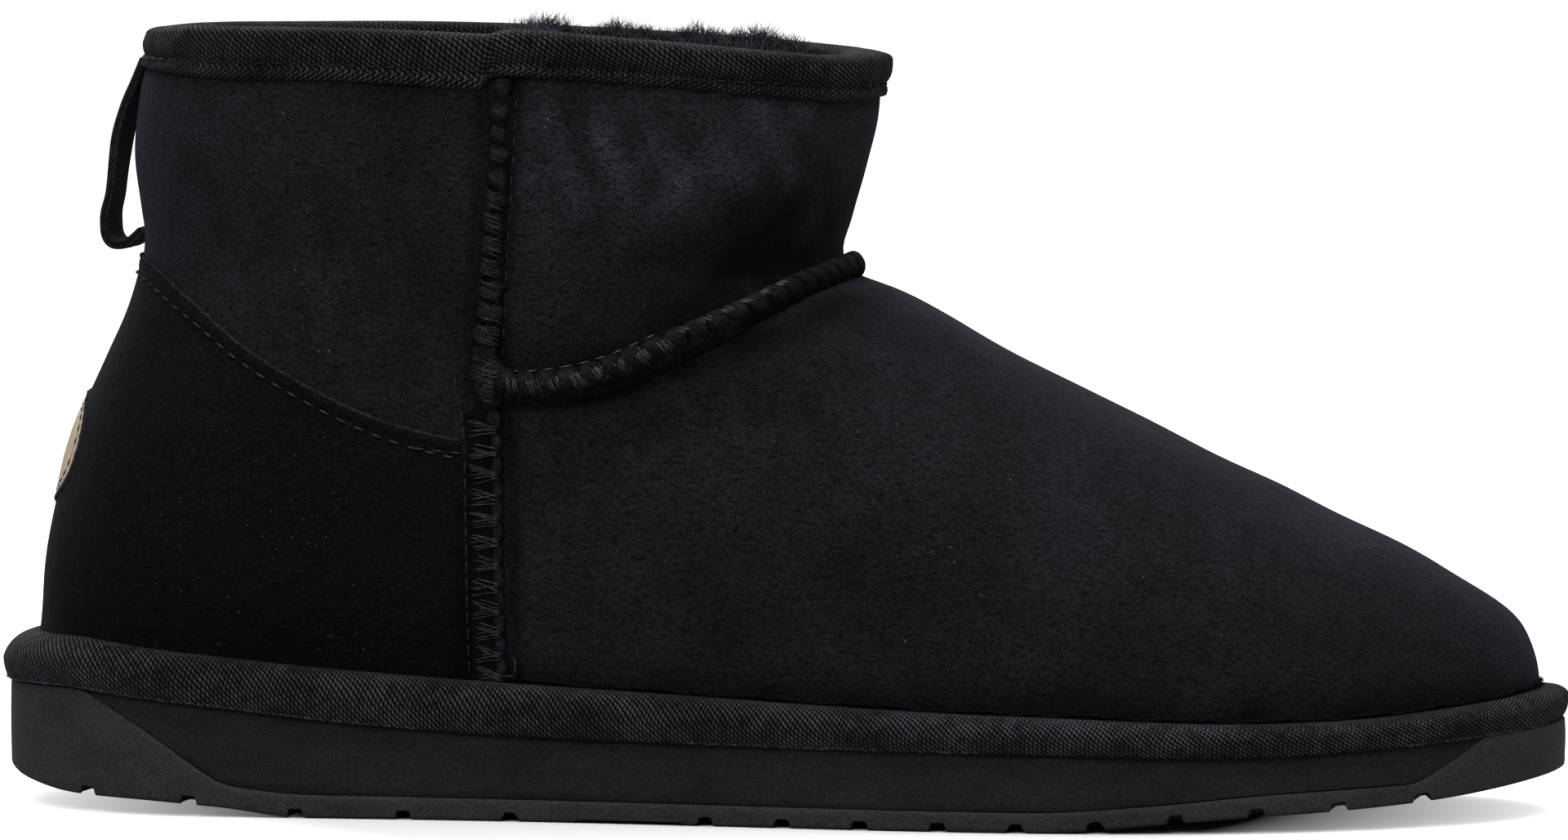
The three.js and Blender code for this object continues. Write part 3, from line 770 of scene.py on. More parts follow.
def suede(name, colour, sheen, mottle=1.0, lit_and_worn=False, lint=0.6, lint_scale=420):
    """Brushed sheepskin: broad soft mottling, a fine short nap that catches light, and a few pale specks of
    lint. Where its flag is set, two layers of the piece paint it paler, for worn nap and painted highlight,
    and darker, as painted shade. A lower value of lint gives more specks, and lint_scale makes them finer."""
    p = Paint(name, Sheen_Weight=sheen, Sheen_Roughness=0.45, Sheen_Tint=(0.62, 0.66, 0.86, 1.0),
              Specular_IOR_Level=0.06)
    cloud = p.span(p.noise(34, 3, 0.55), 0.32, 0.68)
    patch = p.span(p.noise(240, 3, 0.5), 0.3, 0.72)
    nap = p.noise(2500, 2, 0.6)
    streak = p.noise(1900, 2, 0.6, p.stretched((0.42, 0.7, 1.0)))
    tone = p.math("MULTIPLY_ADD", cloud, 0.8, p.math("MULTIPLY", patch, 0.2))
    low, high = shade(colour, 1 - 0.3 * mottle), shade(colour, 1 + 0.36 * mottle)
    tinted = p.mix(tone, low, high)
    if lit_and_worn:
        # Painted light: the first layer pales the nap for worn patches and painted highlight, the second
        # darkens it as painted shade.
        wear = p.node("ShaderNodeAttribute", attribute_name="wear").outputs["Fac"]
        tinted = p.mix(wear, tinted, shade(colour, 3.4))
        deep = p.node("ShaderNodeAttribute", attribute_name="deep").outputs["Fac"]
        tinted = p.mix(deep, tinted, shade(colour, 0.08))
    grain = p.span(p.math("ADD", nap, p.math("MULTIPLY", streak, 0.8)), 0.68, 1.12)
    base = p.node("ShaderNodeMix", {0: 1.0}, data_type="RGBA", blend_type="MULTIPLY")
    p.set(base.inputs[6], tinted)
    p.set(base.inputs[7], p.mix(grain, (0.32, 0.3, 0.34, 1), (1.74, 1.76, 1.7, 1)))
    base = base.outputs[2]
    speck = p.span(p.cells(lint_scale), 0.085, 0.05)
    rare = p.span(p.noise(95, 2, 0.5), lint, lint + 0.06)
    base = p.mix(p.math("MULTIPLY", speck, rare), base, (0.09, 0.09, 0.09, 1.0))
    soft = p.bump(p.noise(260, 3, 0.5), 0.0004, 0.5)
    fine = p.bump(p.math("ADD", nap, streak), 0.00022, 0.75, soft)
    return p.done(base, p.span(nap, 0.3, 0.7, 0.98, 0.8), fine)


def twill(name, colour, pitch, fold, gloss=0.05):
    """Woven cotton tape. Its ribs slope one way on one side of a line at v = fold and the other way beyond
    it. a runs across the ribs and b along them: height = |sin(pi a)|^0.7 (0.5 + 0.5 |sin(pi b)|)."""
    p = Paint(name, Sheen_Weight=0.02, Sheen_Roughness=0.5, Specular_IOR_Level=gloss)
    u, v = p.cloth()
    sway = p.math("MULTIPLY_ADD", p.noise(120, 2, 0.5), pitch * 0.9,
                  p.math("ABSOLUTE", p.math("SUBTRACT", v, fold)))
    slope = math.radians(35)
    across = p.math("ADD", p.math("MULTIPLY", u, math.sin(slope) * HALF / pitch),
                    p.math("MULTIPLY", sway, math.cos(slope) * HALF / pitch))
    length = pitch * 1.35
    along_rib = p.math("SUBTRACT", p.math("MULTIPLY", u, math.cos(slope) * HALF / length),
                       p.math("MULTIPLY", sway, math.sin(slope) * HALF / length))
    rib = p.math("POWER", p.math("ABSOLUTE", p.math("SINE", across)), 0.7)
    float_yarn = p.math("ABSOLUTE", p.math("SINE", p.math("ADD", along_rib, p.math("MULTIPLY", across, 0.5))))
    height = p.math("MULTIPLY", rib, p.math("MULTIPLY_ADD", float_yarn, 0.55, 0.45))
    uneven = p.math("MULTIPLY", p.span(p.noise(560, 4, 0.7), 0.32, 0.68, 0.3, 1.45),
                    p.span(p.noise(130, 3, 0.6, p.stretched((0.5, 0.5, 1.0))), 0.35, 0.65, 0.52, 1.22))
    # Painted shade and highlight: the colour follows rib height, near-black in the gaps, bright on float
    # tops.
    tone = p.math("MULTIPLY", p.span(height, 0.38, 0.92), uneven, clamp=True)
    base = p.mix(tone, shade(colour, 0.03), shade(colour, 4.2))
    lint = p.math("MULTIPLY", p.span(p.cells(500), 0.07, 0.03), p.span(p.noise(140, 2, 0.5), 0.6, 0.66))
    base = p.mix(lint, base, (0.12, 0.12, 0.13, 1.0))
    return p.done(base, p.span(tone, 0, 1, 0.85, 0.55), p.bump(height, 0.00032, 0.9, p.bump(
        p.noise(2600, 2, 0.6), 0.0001, 0.4)))


def foam(name, colour):
    """Buffed sole foam: a fine upright grain, a faint cloudiness and a few pale grains of dust."""
    p = Paint(name, Specular_IOR_Level=0.05)
    grain = p.noise(2600, 3, 0.7)
    cloud = p.math("MULTIPLY", p.span(p.noise(60, 3, 0.5), 0.3, 0.7, 0.88, 1.12),
                   p.span(p.noise(240, 3, 0.6, p.stretched((0.35, 0.5, 1.6))), 0.3, 0.7, 0.84, 1.16))
    tone = p.math("MULTIPLY", p.span(grain, 0.34, 0.66, 0.45, 1.45), cloud)
    base = p.mix(p.math("MULTIPLY", tone, 0.6), shade(colour, 0.15), shade(colour, 2.3))
    dust = p.math("MULTIPLY", p.span(p.cells(700), 0.06, 0.03), p.span(p.noise(160, 2, 0.5), 0.58, 0.64))
    base = p.mix(dust, base, (0.1, 0.1, 0.1, 1.0))
    return p.done(base, p.span(grain, 0.3, 0.7, 0.8, 0.62), p.bump(grain, 0.00012, 0.7))


def rubber(name, colour):
    """Moulded rubber: nearly smooth, with a fine satin grain, faint flow marks and a few pale grains of dust.
    """
    p = Paint(name, Specular_IOR_Level=0.1)
    grain = p.noise(2600, 3, 0.7)
    flow = p.noise(95, 6, 0.72, p.stretched((0.7, 0.7, 1.2)))
    base = p.mix(p.span(flow, 0.34, 0.66), shade(colour, 1.7), shade(colour, 3.3))
    base = p.mix(p.span(grain, 0.35, 0.65, 0.5, 0.0), base, shade(colour, 0.7))
    base = p.mix(p.span(grain, 0.45, 0.7, 0, 0.5), base, shade(colour, 5.5))
    dust = p.math("MULTIPLY", p.span(p.cells(620), 0.07, 0.035), p.span(p.noise(130, 2, 0.5), 0.53, 0.59))
    base = p.mix(dust, base, (0.12, 0.12, 0.12, 1.0))
    return p.done(base, p.span(flow, 0.3, 0.7, 0.5, 0.64), p.bump(grain, 0.00012, 0.7))


def fleece(name, colour, sheen=0.12, dark=0.3, pale=1.7, fine=0.3, shadowed=False):
    """Short curly wool: pale tips over dark roots, in clumps a few millimetres across. dark and pale are the
    roots' and the tips' shares of the colour, fine is the fibres' share of the pattern, and where shadowed is
    set a layer of the piece darkens it as painted shade."""
    p = Paint(name, Sheen_Weight=sheen, Sheen_Roughness=0.5, Sheen_Tint=(0.76, 0.76, 0.9, 1.0),
              Specular_IOR_Level=0.02)
    clump = p.noise(420, 4, 0.6)
    fibre = p.noise(2200, 3, 0.7)
    tone = p.math("MULTIPLY_ADD", p.span(clump, 0.32, 0.66), 1 - fine,
                  p.math("MULTIPLY", p.span(fibre, 0.3, 0.7), fine))
    base = p.mix(tone, shade(colour, dark), shade(colour, pale))
    if shadowed:
        # Painted shade from the piece's own layer.
        deep = p.node("ShaderNodeAttribute", attribute_name="deep").outputs["Fac"]
        base = p.mix(deep, base, shade(colour, 0.03))
    return p.done(base, p.span(fibre, 0, 1, 0.95, 0.85), p.bump(p.math("ADD", clump, p.math(
        "MULTIPLY", fibre, 0.5)), 0.0011, 0.8))


def label_leather(name, colour):
    """Tan leather with pebbled grain. u of its map runs from 0 in the middle to 1 at the rim, where the cut
    edge is burnished dark."""
    p = Paint(name, Specular_IOR_Level=0.3)
    u, _ = p.cloth()
    pebble = p.cells(1500)
    cloud = p.span(p.noise(130, 4, 0.6), 0.3, 0.7)
    base = p.mix(cloud, shade(colour, 0.84), shade(colour, 1.12))
    base = p.mix(p.span(pebble, 0.5, 0.1, 0, 0.35), base, shade(colour, 0.62))
    base = p.mix(p.span(u, 0.955, 0.99), base, shade(colour, 0.12))
    base = p.mix(p.math("MULTIPLY", p.span(u, 0.84, 0.87), p.span(u, 0.905, 0.875)), base,
                 shade(colour, 0.45))
    return p.done(base, p.span(cloud, 0, 1, 0.62, 0.5), p.bump(pebble, 0.0001, 0.6))


def thread(name, colour, gloss):
    """Bonded sewing thread: a slight shine broken by its fine twist."""
    p = Paint(name, Specular_IOR_Level=gloss)
    twist = p.noise(1700, 3, 0.6)
    base = p.mix(p.span(twist, 0.35, 0.65), shade(colour, 0.3), shade(colour, 2.0))
    return p.done(base, p.span(twist, 0.3, 0.7, 0.5, 0.3), p.bump(twist, 0.00012, 0.7))


def finish_of(key):
    """The material for one finish, made the first time it is asked for."""
    colours = bpy.context.scene.boot_colours
    sizes = bpy.context.scene.boot_sizes
    recipes = {
        "upper suede": lambda n: suede(n, colours.suede, 0.06, lit_and_worn=True),
        "seam shadow": lambda n: suede(n, shade(colours.suede, 0.3), 0.01, 0.3),
        "seam suede": lambda n: suede(n, shade(colours.suede, 0.72), 0.01, 0.9, lit_and_worn=True),
        "band suede": lambda n: suede(n, shade(colours.counter, 0.7), 0.02, 0.7),
        # The cut edge is paler than the suede, partly as a painted highlight along the edge.
        "cut edge": lambda n: suede(n, shade(colours.suede, 1.7), 0.05, 0.7),
        "counter suede": lambda n: suede(n, colours.counter, 0.04, 0.7, lit_and_worn=True, lint=0.44,
                                         lint_scale=620),
        "rand twill": lambda n: twill(n, colours.tape, sizes.weave_pitch * 0.82, 0.0),
        "collar twill": lambda n: twill(n, shade(colours.tape, 0.72), sizes.weave_pitch * 1.06, 0.0026),
        "loop tape": lambda n: suede(n, shade(colours.suede, 1.45), 0.05, 0.9),
        "stray thread": lambda n: thread(n, shade(colours.thread, 3.0), 0.3),
        "sole foam": lambda n: foam(n, colours.foam),
        "sole rubber": lambda n: rubber(n, colours.rubber),
        "lining fleece": lambda n: fleece(n, colours.fleece),
        "seam fluff": lambda n: fleece(
            n, tuple(0.2 * c * t for c, t in zip(colours.fleece, (0.97, 1.0, 1.0, 1.0))), 0.01, 0.02, 4.2,
            0.6, True),
        "rim wool": lambda n: fleece(n, shade(colours.fleece, 1.3), 0.16, 0.5, 1.5),
        "label leather": lambda n: label_leather(n, colours.label),
        "seam thread": lambda n: thread(n, shade(colours.thread, 1.25), 0.7),
        "stitch thread": lambda n: thread(n, shade(colours.thread, 0.6), 0.3),
        "dark thread": lambda n: thread(n, shade(colours.thread, 0.1), 0.03),
        "tape stitch": lambda n: thread(n, shade(colours.thread, 0.4), 0.12),
        "side thread": lambda n: thread(n, shade(colours.thread, 0.9), 0.35),
    }
    return bpy.data.materials.get(key) or recipes[key](key)


# ---------------------------------------------------------------------------------------------------
# Sizes and colours


class BootSizes(bpy.types.PropertyGroup):
    """Sizes that can be changed before the boot is built."""

    crease_depth: bpy.props.FloatProperty(
        name="Crease depth", description="How strongly the soft creases and puffs show, 1 as made",
        default=1.0, min=0.0, max=2.0, subtype="FACTOR")
    weave_pitch: bpy.props.FloatProperty(
        name="Weave pitch", description="Distance between two ribs of the tape's twill",
        default=0.00078, min=0.0003, max=0.002, precision=5, unit="LENGTH")
    stitch_pitch: bpy.props.FloatProperty(
        name="Stitch pitch", description="Distance from one lockstitch to the next",
        default=0.0034, min=0.002, max=0.006, precision=4, unit="LENGTH")
    wrap_pitch: bpy.props.FloatProperty(
        name="Wrap pitch", description="Distance between the bundles of thread over a seam",
        default=0.0039, min=0.002, max=0.008, precision=4, unit="LENGTH")
    wool_length: bpy.props.FloatProperty(
        name="Wool length", description="Length of the longest curls of the lining",
        default=0.005, min=0.001, max=0.009, precision=4, unit="LENGTH")


def colour_property(name, description, value):
    """A colour that the sidebar can change."""
    return bpy.props.FloatVectorProperty(name=name, description=description, size=4, min=0.0, max=1.0,
                                         default=(*value, 1.0), subtype="COLOR")


class BootColours(bpy.types.PropertyGroup):
    """Colours of the finishes."""

    suede: colour_property("Suede", "The upper's brushed face", (0.0090, 0.0093, 0.0115))
    counter: colour_property("Heel suede", "The heel counter's brushed face", (0.0037, 0.0034, 0.0043))
    tape: colour_property("Tape", "The twill tape of the rand and the collar",
                          (0.0136, 0.0133, 0.0165))
    foam: colour_property("Foam", "The midsole", (0.0113, 0.0112, 0.0113))
    rubber: colour_property("Rubber", "The outsole", (0.0119, 0.0118, 0.0124))
    fleece: colour_property("Fleece", "The wool lining", (0.0340, 0.0350, 0.0430))
    label: colour_property("Label", "The leather patch at the heel", (0.66, 0.52, 0.41))
    thread: colour_property("Thread", "The seams' sewing thread", (0.020, 0.0215, 0.026))


# ---------------------------------------------------------------------------------------------------
# The pieces


def foot_ring(turn, out):
    """The foot of the upper moved out level, with its stations along the sole's edge."""
    p = face(turn, 0.0)
    station = edge_of(p[:, 0])
    n = normal(turn, np.zeros_like(turn))
    out = np.asarray(out) + end_reach(p[:, 0], 1.3, 0.45)
    return p[:, :2] + n[:, :2] * out[..., None], station


def end_reach(x, toe, heel):
    """How much further the sole and its rand reach at the toe and at the heel."""
    return toe * ease(108, 131, x) + heel * (1 - ease(-132, -112, x))


def groove_height(x):
    """How far the sole's underside is let in at x: a trapezoid over each groove, and the shallow arch."""
    depth = np.zeros_like(x)
    for centre in GROOVES:
        d = np.abs(x - centre)
        slope = np.clip((GROOVE_HALF[1] - d) / (GROOVE_HALF[1] - GROOVE_HALF[0]), 0, 1)
        depth = np.maximum(depth, GROOVE_DEPTH * slope)
    start, end, shallow = ARCH_RECESS
    arch = shallow * ease(start - 1, start + 1, x) * (1 - ease(end - 1, end + 1, x))
    return np.maximum(depth, arch)


def crisp(piece, angle):
    """Edges sharper than an angle in degrees stay crisp."""
    piece.data.set_sharp_from_angle(angle=math.radians(angle))


def build_outsole():
    """Rings stacked up the outside of the tray: the grooved underside, a rounded lower edge, the wall to the
    foam's boundary, its rim and the wall inside it."""
    turn = np.arange(1800) / 1800 * TURN
    rings = []

    def ring(out, z_of):
        xy, station = foot_ring(turn, np.full_like(turn, out))
        z = z_of(station, xy[:, 0])
        rings.append(np.column_stack([xy, z]))

    ring(SOLE_MARGIN - 4.6, lambda s, x: sole_bottom(s) + 0.3 * groove_height(x))
    ring(SOLE_MARGIN - 4.1, lambda s, x: sole_bottom(s) + groove_height(x))
    for t in np.linspace(0, 1, 5):
        bend = HALF / 2 * t
        out = SOLE_MARGIN - EDGE_BEVEL * (1 - math.sin(bend))
        up = EDGE_RISE * (1 - math.cos(bend))
        ring(out, lambda s, x: sole_bottom(s) + np.maximum(up, groove_height(x) + up * 0.03))
    for t in (0.12, 0.35, 0.6, 0.85):
        ring(SOLE_MARGIN + 0.12 * math.sin(HALF * t),
             lambda s, x: (sole_bottom(s) + GROOVE_DEPTH + 0.2) * (1 - t) + sole_boundary(s) * t)
    ring(SOLE_MARGIN, lambda s, x: sole_boundary(s) - 0.25)
    ring(SOLE_MARGIN - 0.08, lambda s, x: sole_boundary(s) - 0.07)
    ring(SOLE_MARGIN - 0.25, lambda s, x: sole_boundary(s))
    ring(SOLE_MARGIN - RIM_WALL, lambda s, x: sole_boundary(s))
    ring(SOLE_MARGIN - RIM_WALL - GAP, lambda s, x: sole_bottom(s) + PLATE)
    cross = 10
    points, faces = capped(rings, cross)
    base = len(rings) * len(turn)
    grid = points[base:base + (len(turn) // 2 + 1) * (cross + 1)].reshape(-1, cross + 1, 3)
    share = np.linspace(0, 1, cross + 1)[None]
    # Each groove is a pocket at the edge, and comes again as a shallow bar over the middle of the tread.
    bar = 0.6 * (1 - ease(0.26, 0.36, np.abs(share - 0.5)))
    ends = grid[:, [0, -1], 2] - 0.3 * groove_height(grid[:, [0, -1], 0])
    edge = np.where(np.abs(share - 0.5) == 0.5, 0.3, bar)
    grid[:, :, 2] = ends[:, :1] * (1 - share) + ends[:, 1:] * share + groove_height(grid[:, :, 0]) * edge
    piece = new_piece("outsole_rubber", points, faces, finish_of("sole rubber"), weld=True)
    crisp(piece, 32)
    settle(piece, "rubber", "outsole")


def build_midsole():
    """Foam inside the tray up to the rim, then over it to the rand, its outside wall a little inside the
    rubber's and very slightly hollow."""
    turn = np.arange(1080) / 1080 * TURN
    inside = SOLE_MARGIN - RIM_WALL - 2 * GAP
    rings = []

    def ring(out, z_of):
        xy, station = foot_ring(turn, np.full_like(turn, out))
        rings.append(np.column_stack([xy, z_of(station)]))

    def over_rim(s):
        return np.minimum(sole_boundary(s) + 0.08, sole_top(s) - 0.06)

    ring(inside, lambda s: sole_bottom(s) + PLATE + GAP)
    ring(inside, over_rim)
    wall = SOLE_MARGIN - FOAM_INSET
    ring(wall - 0.2, over_rim)
    for t in (0.03, 0.15, 0.35, 0.6, 0.82, 0.96):
        ring(wall - 0.12 * math.sin(HALF * t), lambda s: over_rim(s) * (1 - t) + sole_top(s) * t)
    ring(wall - 0.1, sole_top)
    points, faces = capped(rings, 4)
    piece = new_piece("midsole_foam", points, faces, finish_of("sole foam"), weld=True)
    crisp(piece, 40)
    settle(piece, "foam", "midsole")


def build_rand():
    """The tape-covered rope round the foot: its outside is part of a circle from under the edge up to the
    upper, with slow waves in it, and its inside follows the upper. With it come the threads that fray from
    its lower edge."""
    turn = np.arange(960) / 960 * TURN
    hem = hem_rise(turn)
    foot, top = face(turn, 0.0), face(turn, hem)
    level = 0.4 * (top[:, 2] - foot[:, 2])
    rise_by = top[:, 2] - foot[:, 2]
    n_foot, n_top = normal(turn, np.zeros_like(turn)), normal(turn, hem)
    along_foot = around_length(foot)
    wave = 0.16 * ripple(foot, 17, 5) + 0.09 * ripple(foot, 6, 6)
    reach = end_reach(foot[:, 0], 0.5, 0.45)
    rings = []
    angles = np.concatenate([np.linspace(-0.6, 0, 9)[:-1], np.linspace(0, HALF / 2, 22)])
    for angle in angles:
        share = max(0.0, math.sin(angle))
        base = foot * (1 - share) + np.column_stack([top[:, :2], foot[:, 2]]) * share
        n = unit(n_foot * (1 - share) + n_top * share * [1, 1, 0])
        body = max(0.0, math.cos(angle))
        out = 2.0 + (RAND_MARGIN - 2.0) * body + (wave + reach) * body
        up = np.where(angle < 0, level * (1 - math.sin(angle) / math.sin(-0.6)),
                      level + (rise_by - level) * math.sin(angle))
        p = base + n * out[:, None] * [1, 1, 0]
        p[:, 2] = foot[:, 2] + up + 0.12 * wave * math.cos(angle) - 0.24 * bell(angle + 0.6, 0.25)
        rings.append(p)
    for share in (1.0, 0.5, 0.0):
        height_share = hem * share
        rings.append(face(turn, height_share) + normal(turn, height_share) * (GAP + 0.25))
    rings = np.array(rings)
    count, around = rings.shape[:2]
    v = np.concatenate([[0], np.cumsum(np.linalg.norm(np.diff(rings[:, 300], axis=0), axis=1)), [0]])
    fold = v[len(angles)] * along(RAND_FOLD["x"], RAND_FOLD["share"], np.append(foot[:, 0], foot[0, 0]))
    uv = cloth_uv(count, around, True, True, -along_foot[None], v[:, None] - fold[None])
    faces = lattice(count, around, True, True)
    piece = new_piece("rand_tape", rings, [faces], finish_of("rand twill"), [uv])
    settle(piece, "twill", "rand")

    # Threads that fray from the tape's lower edge, in runs with bare stretches between them.
    rng = np.random.default_rng(93)
    lip = rings[1]
    at = rng.integers(0, around, 3000)
    at = at[ripple(lip[at], 60, 94) > 0.15]
    way = unit(np.roll(lip, -1, axis=0) - lip)[at]
    drop = rng.uniform(0.15, 0.6, len(at))[:, None, None]
    slant = rng.normal(0, 1.6, len(at))[:, None, None]
    t = np.linspace(0, 1, 4)[None, :, None]
    lines = (lip[at] + n_foot[at] * 0.06)[:, None] + (way[:, None] * slant - [0, 0, 1.0]) * drop * t
    shape = tubes(lines, 0.045 * (1 - 0.4 * t[..., 0]) * np.ones((len(at), 1)), 3)
    add_piece("rand_fringe", shape, "stray thread", "twill", tidied=False)


def build_foot_seam():
    """The thin cord that closes the upper on the rand, near-black as a painted shadow line, with loose
    fibres along it and at the toe.
    """
    rng = np.random.default_rng(91)
    turn = np.linspace(0.0, TURN, 900)
    level = hem_rise(turn) + 0.004 + 0.0012 * np.sin(turn * 41) + 0.0009 * np.sin(turn * 97 + 1)
    cord = Ridge(turn, level, 0.5, 0.3, 0.2, 0.45)
    parts = [cord.solid(8, lambda run, angle: 0.7 + 0.3 * ripple(cord.at(run, angle), 2.2, 92)),
             fluff(cord, 2600, (0.2, HALF - 0.2), 0.9, 0.06, rng)]
    toe = (cord.run[-1] * 0.46, cord.run[-1] * 0.54)
    parts.append(fluff(cord, 300, (0.1, HALF - 0.1), 1.1, 0.04, rng, 0.96, toe))
    add_piece("foot_seam", join(parts), "seam shadow", "suede")


# Pale patches of the upper, partly worn or brushed nap and partly painted highlight where more light
# falls, as on the front quarter's upper part and the toe's rim: x, z, half length, half height in
# millimetres and strength.
WEAR_AND_HIGHLIGHT = [
    (-66, 84, 9, 7, 0.26), (-74, 92, 14, 9, 0.12), (-118, 122, 10, 10, 0.12), (2, 120, 14, 10, 0.12),
    (-3, 67, 9, 3, 0.12), (-14, 69, 22, 7, 0.13), (-19.4, 43.0, 1.0, 1.0, 0.4), (60, 55, 26, 10, 0.07),
    (102, 44, 20, 9, 0.12), (121, 32, 12, 11, 0.16), (28, 78, 14, 8, 0.1), (-100, 112, 12, 12, 0.07),
    (80, 46, 5, 9, 0.06), (-22, 114, 17, 11, 0.24), (-13, 111, 32, 14, 0.5), (0, 116, 16, 11, 0.2),
    (-92, 108, 22, 18, 0.1), (-10, 66, 24, 8, 0.1),
]


def build_upper():
    """The skin of the upper: face(turn, rise) with its relief on the outside, and the same form a skin's
    thickness inside, joined at the foot and under the collar tape."""
    around, rows, inside = 420, 120, 16
    turn = np.arange(around) / around * TURN
    rise = np.concatenate([np.linspace(0, RIM, rows), np.linspace(RIM, 0, inside)])[:, None]
    out = np.concatenate([np.zeros(rows), np.full(inside, -SKIN)])[:, None]
    depth = bpy.context.scene.boot_sizes.crease_depth
    grid_turn, grid_rise = np.broadcast_arrays(turn[None], rise)
    lift = relief(grid_turn, grid_rise) * depth + out
    points = face(grid_turn, grid_rise) + normal(grid_turn, grid_rise) * lift[..., None]
    piece = new_piece("upper_suede", points, [lattice(rows + inside, around, True, True)],
                      finish_of("upper suede"))
    x, z = points[..., 0].ravel(), points[..., 2].ravel() - UPPER_LIFT
    # Pale patches from the table above: worn nap and painted highlight.
    wear = np.zeros_like(x)
    fade = 0.55 + 0.45 * ripple(points.reshape(-1, 3), 9, 12)
    for cx, cz, long, high, strength in WEAR_AND_HIGHLIGHT:
        wear += strength * np.exp(-((x - cx) / long) ** 2 - ((z - cz) / high) ** 2)
    wear = np.clip(wear * np.clip(fade, 0.1, 1.3), 0, 1)
    # Painted shade: darker in the hollow above the vamp seam, more so towards the throat, just under the
    # seam, along the foot, beside the side seams and in a few broad bands.
    folded = mirror_turn(grid_turn)
    above = (grid_rise - along(SEAM_TURN, SEAM_RISE, folded)) * RISE_SPAN
    ahead = ease(SEAM_TURN[0], SEAM_TURN[0] + 0.18, folded)
    reach = 11.5 + 6 * ease(1.6, 2.6, folded)
    strength = ahead * (0.42 + 0.85 * ease(1.6, 2.5, folded))
    deep = strength * (1 - ease(0, 1, above / (1.45 * reach))) * (above > -1)
    deep += 0.16 * ahead * ease(1.9, 2.6, folded) * (1 - ease(8, 34, above)) * (above > -1)
    deep += 0.5 * bell(above - 2.6, 1.3) * ahead
    deep += 0.75 * bell(above + 3.4, 2.0) * ahead + 0.7 * (1 - ease(0.06, 0.13, grid_rise))
    beside = points[..., 0] - along(SIDE_SEAM["z"], SIDE_SEAM["x"], points[..., 2])
    flank = ease(0.25, 0.6, np.abs(np.sin(turn)))
    deep += (0.75 * bell(beside - 2.4, 1.5) + 0.5 * bell(beside + 3.2, 1.6)) * flank
    deep += (0.12 + 0.14 * bell(above + 9, 8)) * ahead * (above < 0) * ease(0.1, 0.2, grid_rise)
    deep += 0.22 * bell(beside + 14, 12) * (grid_rise > 0.3) + 0.22 * bell(grid_rise - 0.16, 0.09) * ahead
    deep = np.clip(deep * (0.9 + 0.2 * ripple(points, 12, 13)), 0, 0.97).ravel()
    paint(piece, wear=wear, deep=deep)
    settle(piece, "suede", "upper")


def build_fleece():
    """The wool: a closed hoop inside the skin, its inner face clumped by smooth noise, and a wool sole."""
    around, outside, rows = 320, 24, 72
    turn = np.arange(around) / around * TURN
    rise = np.concatenate([np.linspace(0.02, RIM, outside), np.linspace(RIM, 0.02, rows)])[:, None]
    grid_turn, grid_rise = np.broadcast_arrays(turn[None], rise)
    points = skin(grid_turn, grid_rise, -SKIN - 0.3)
    inner = inner_face(grid_turn[outside:], grid_rise[outside:])
    clump = 0.5 * ripple(inner, 7, 21, 24) + 0.35 * ripple(inner, 3.2, 22, 24)
    points[outside:] = inner_face(grid_turn[outside:], grid_rise[outside:], clump)
    lining = new_piece("fleece_lining", points, [lattice(outside + rows, around, True, True)],
                       finish_of("lining fleece"))
    settle(lining, "fleece")

    turn = np.arange(360) / 360 * TURN
    rings = []
    for out, up in ((0, 0.0), (0, 3.4), (0.5, 4.1), (1.4, 4.5)):
        inset = WALL + GAP + 1.3 * (up / INSOLE_THICK) + out
        p = face(turn, 0.0) - normal(turn, np.zeros_like(turn)) * inset
        p[:, 2] += up
        rings.append(p)
    points, faces = capped(rings, 40)
    top = points[len(rings) * 360 + 181 * 41:]
    top[:, 2] += 0.35 * ripple(top, 6, 31, 24) + 0.25 * ripple(top, 3, 32, 24)
    insole = new_piece("insole_fleece", points, faces, finish_of("lining fleece"), weld=True)
    settle(insole, "fleece", "insole")


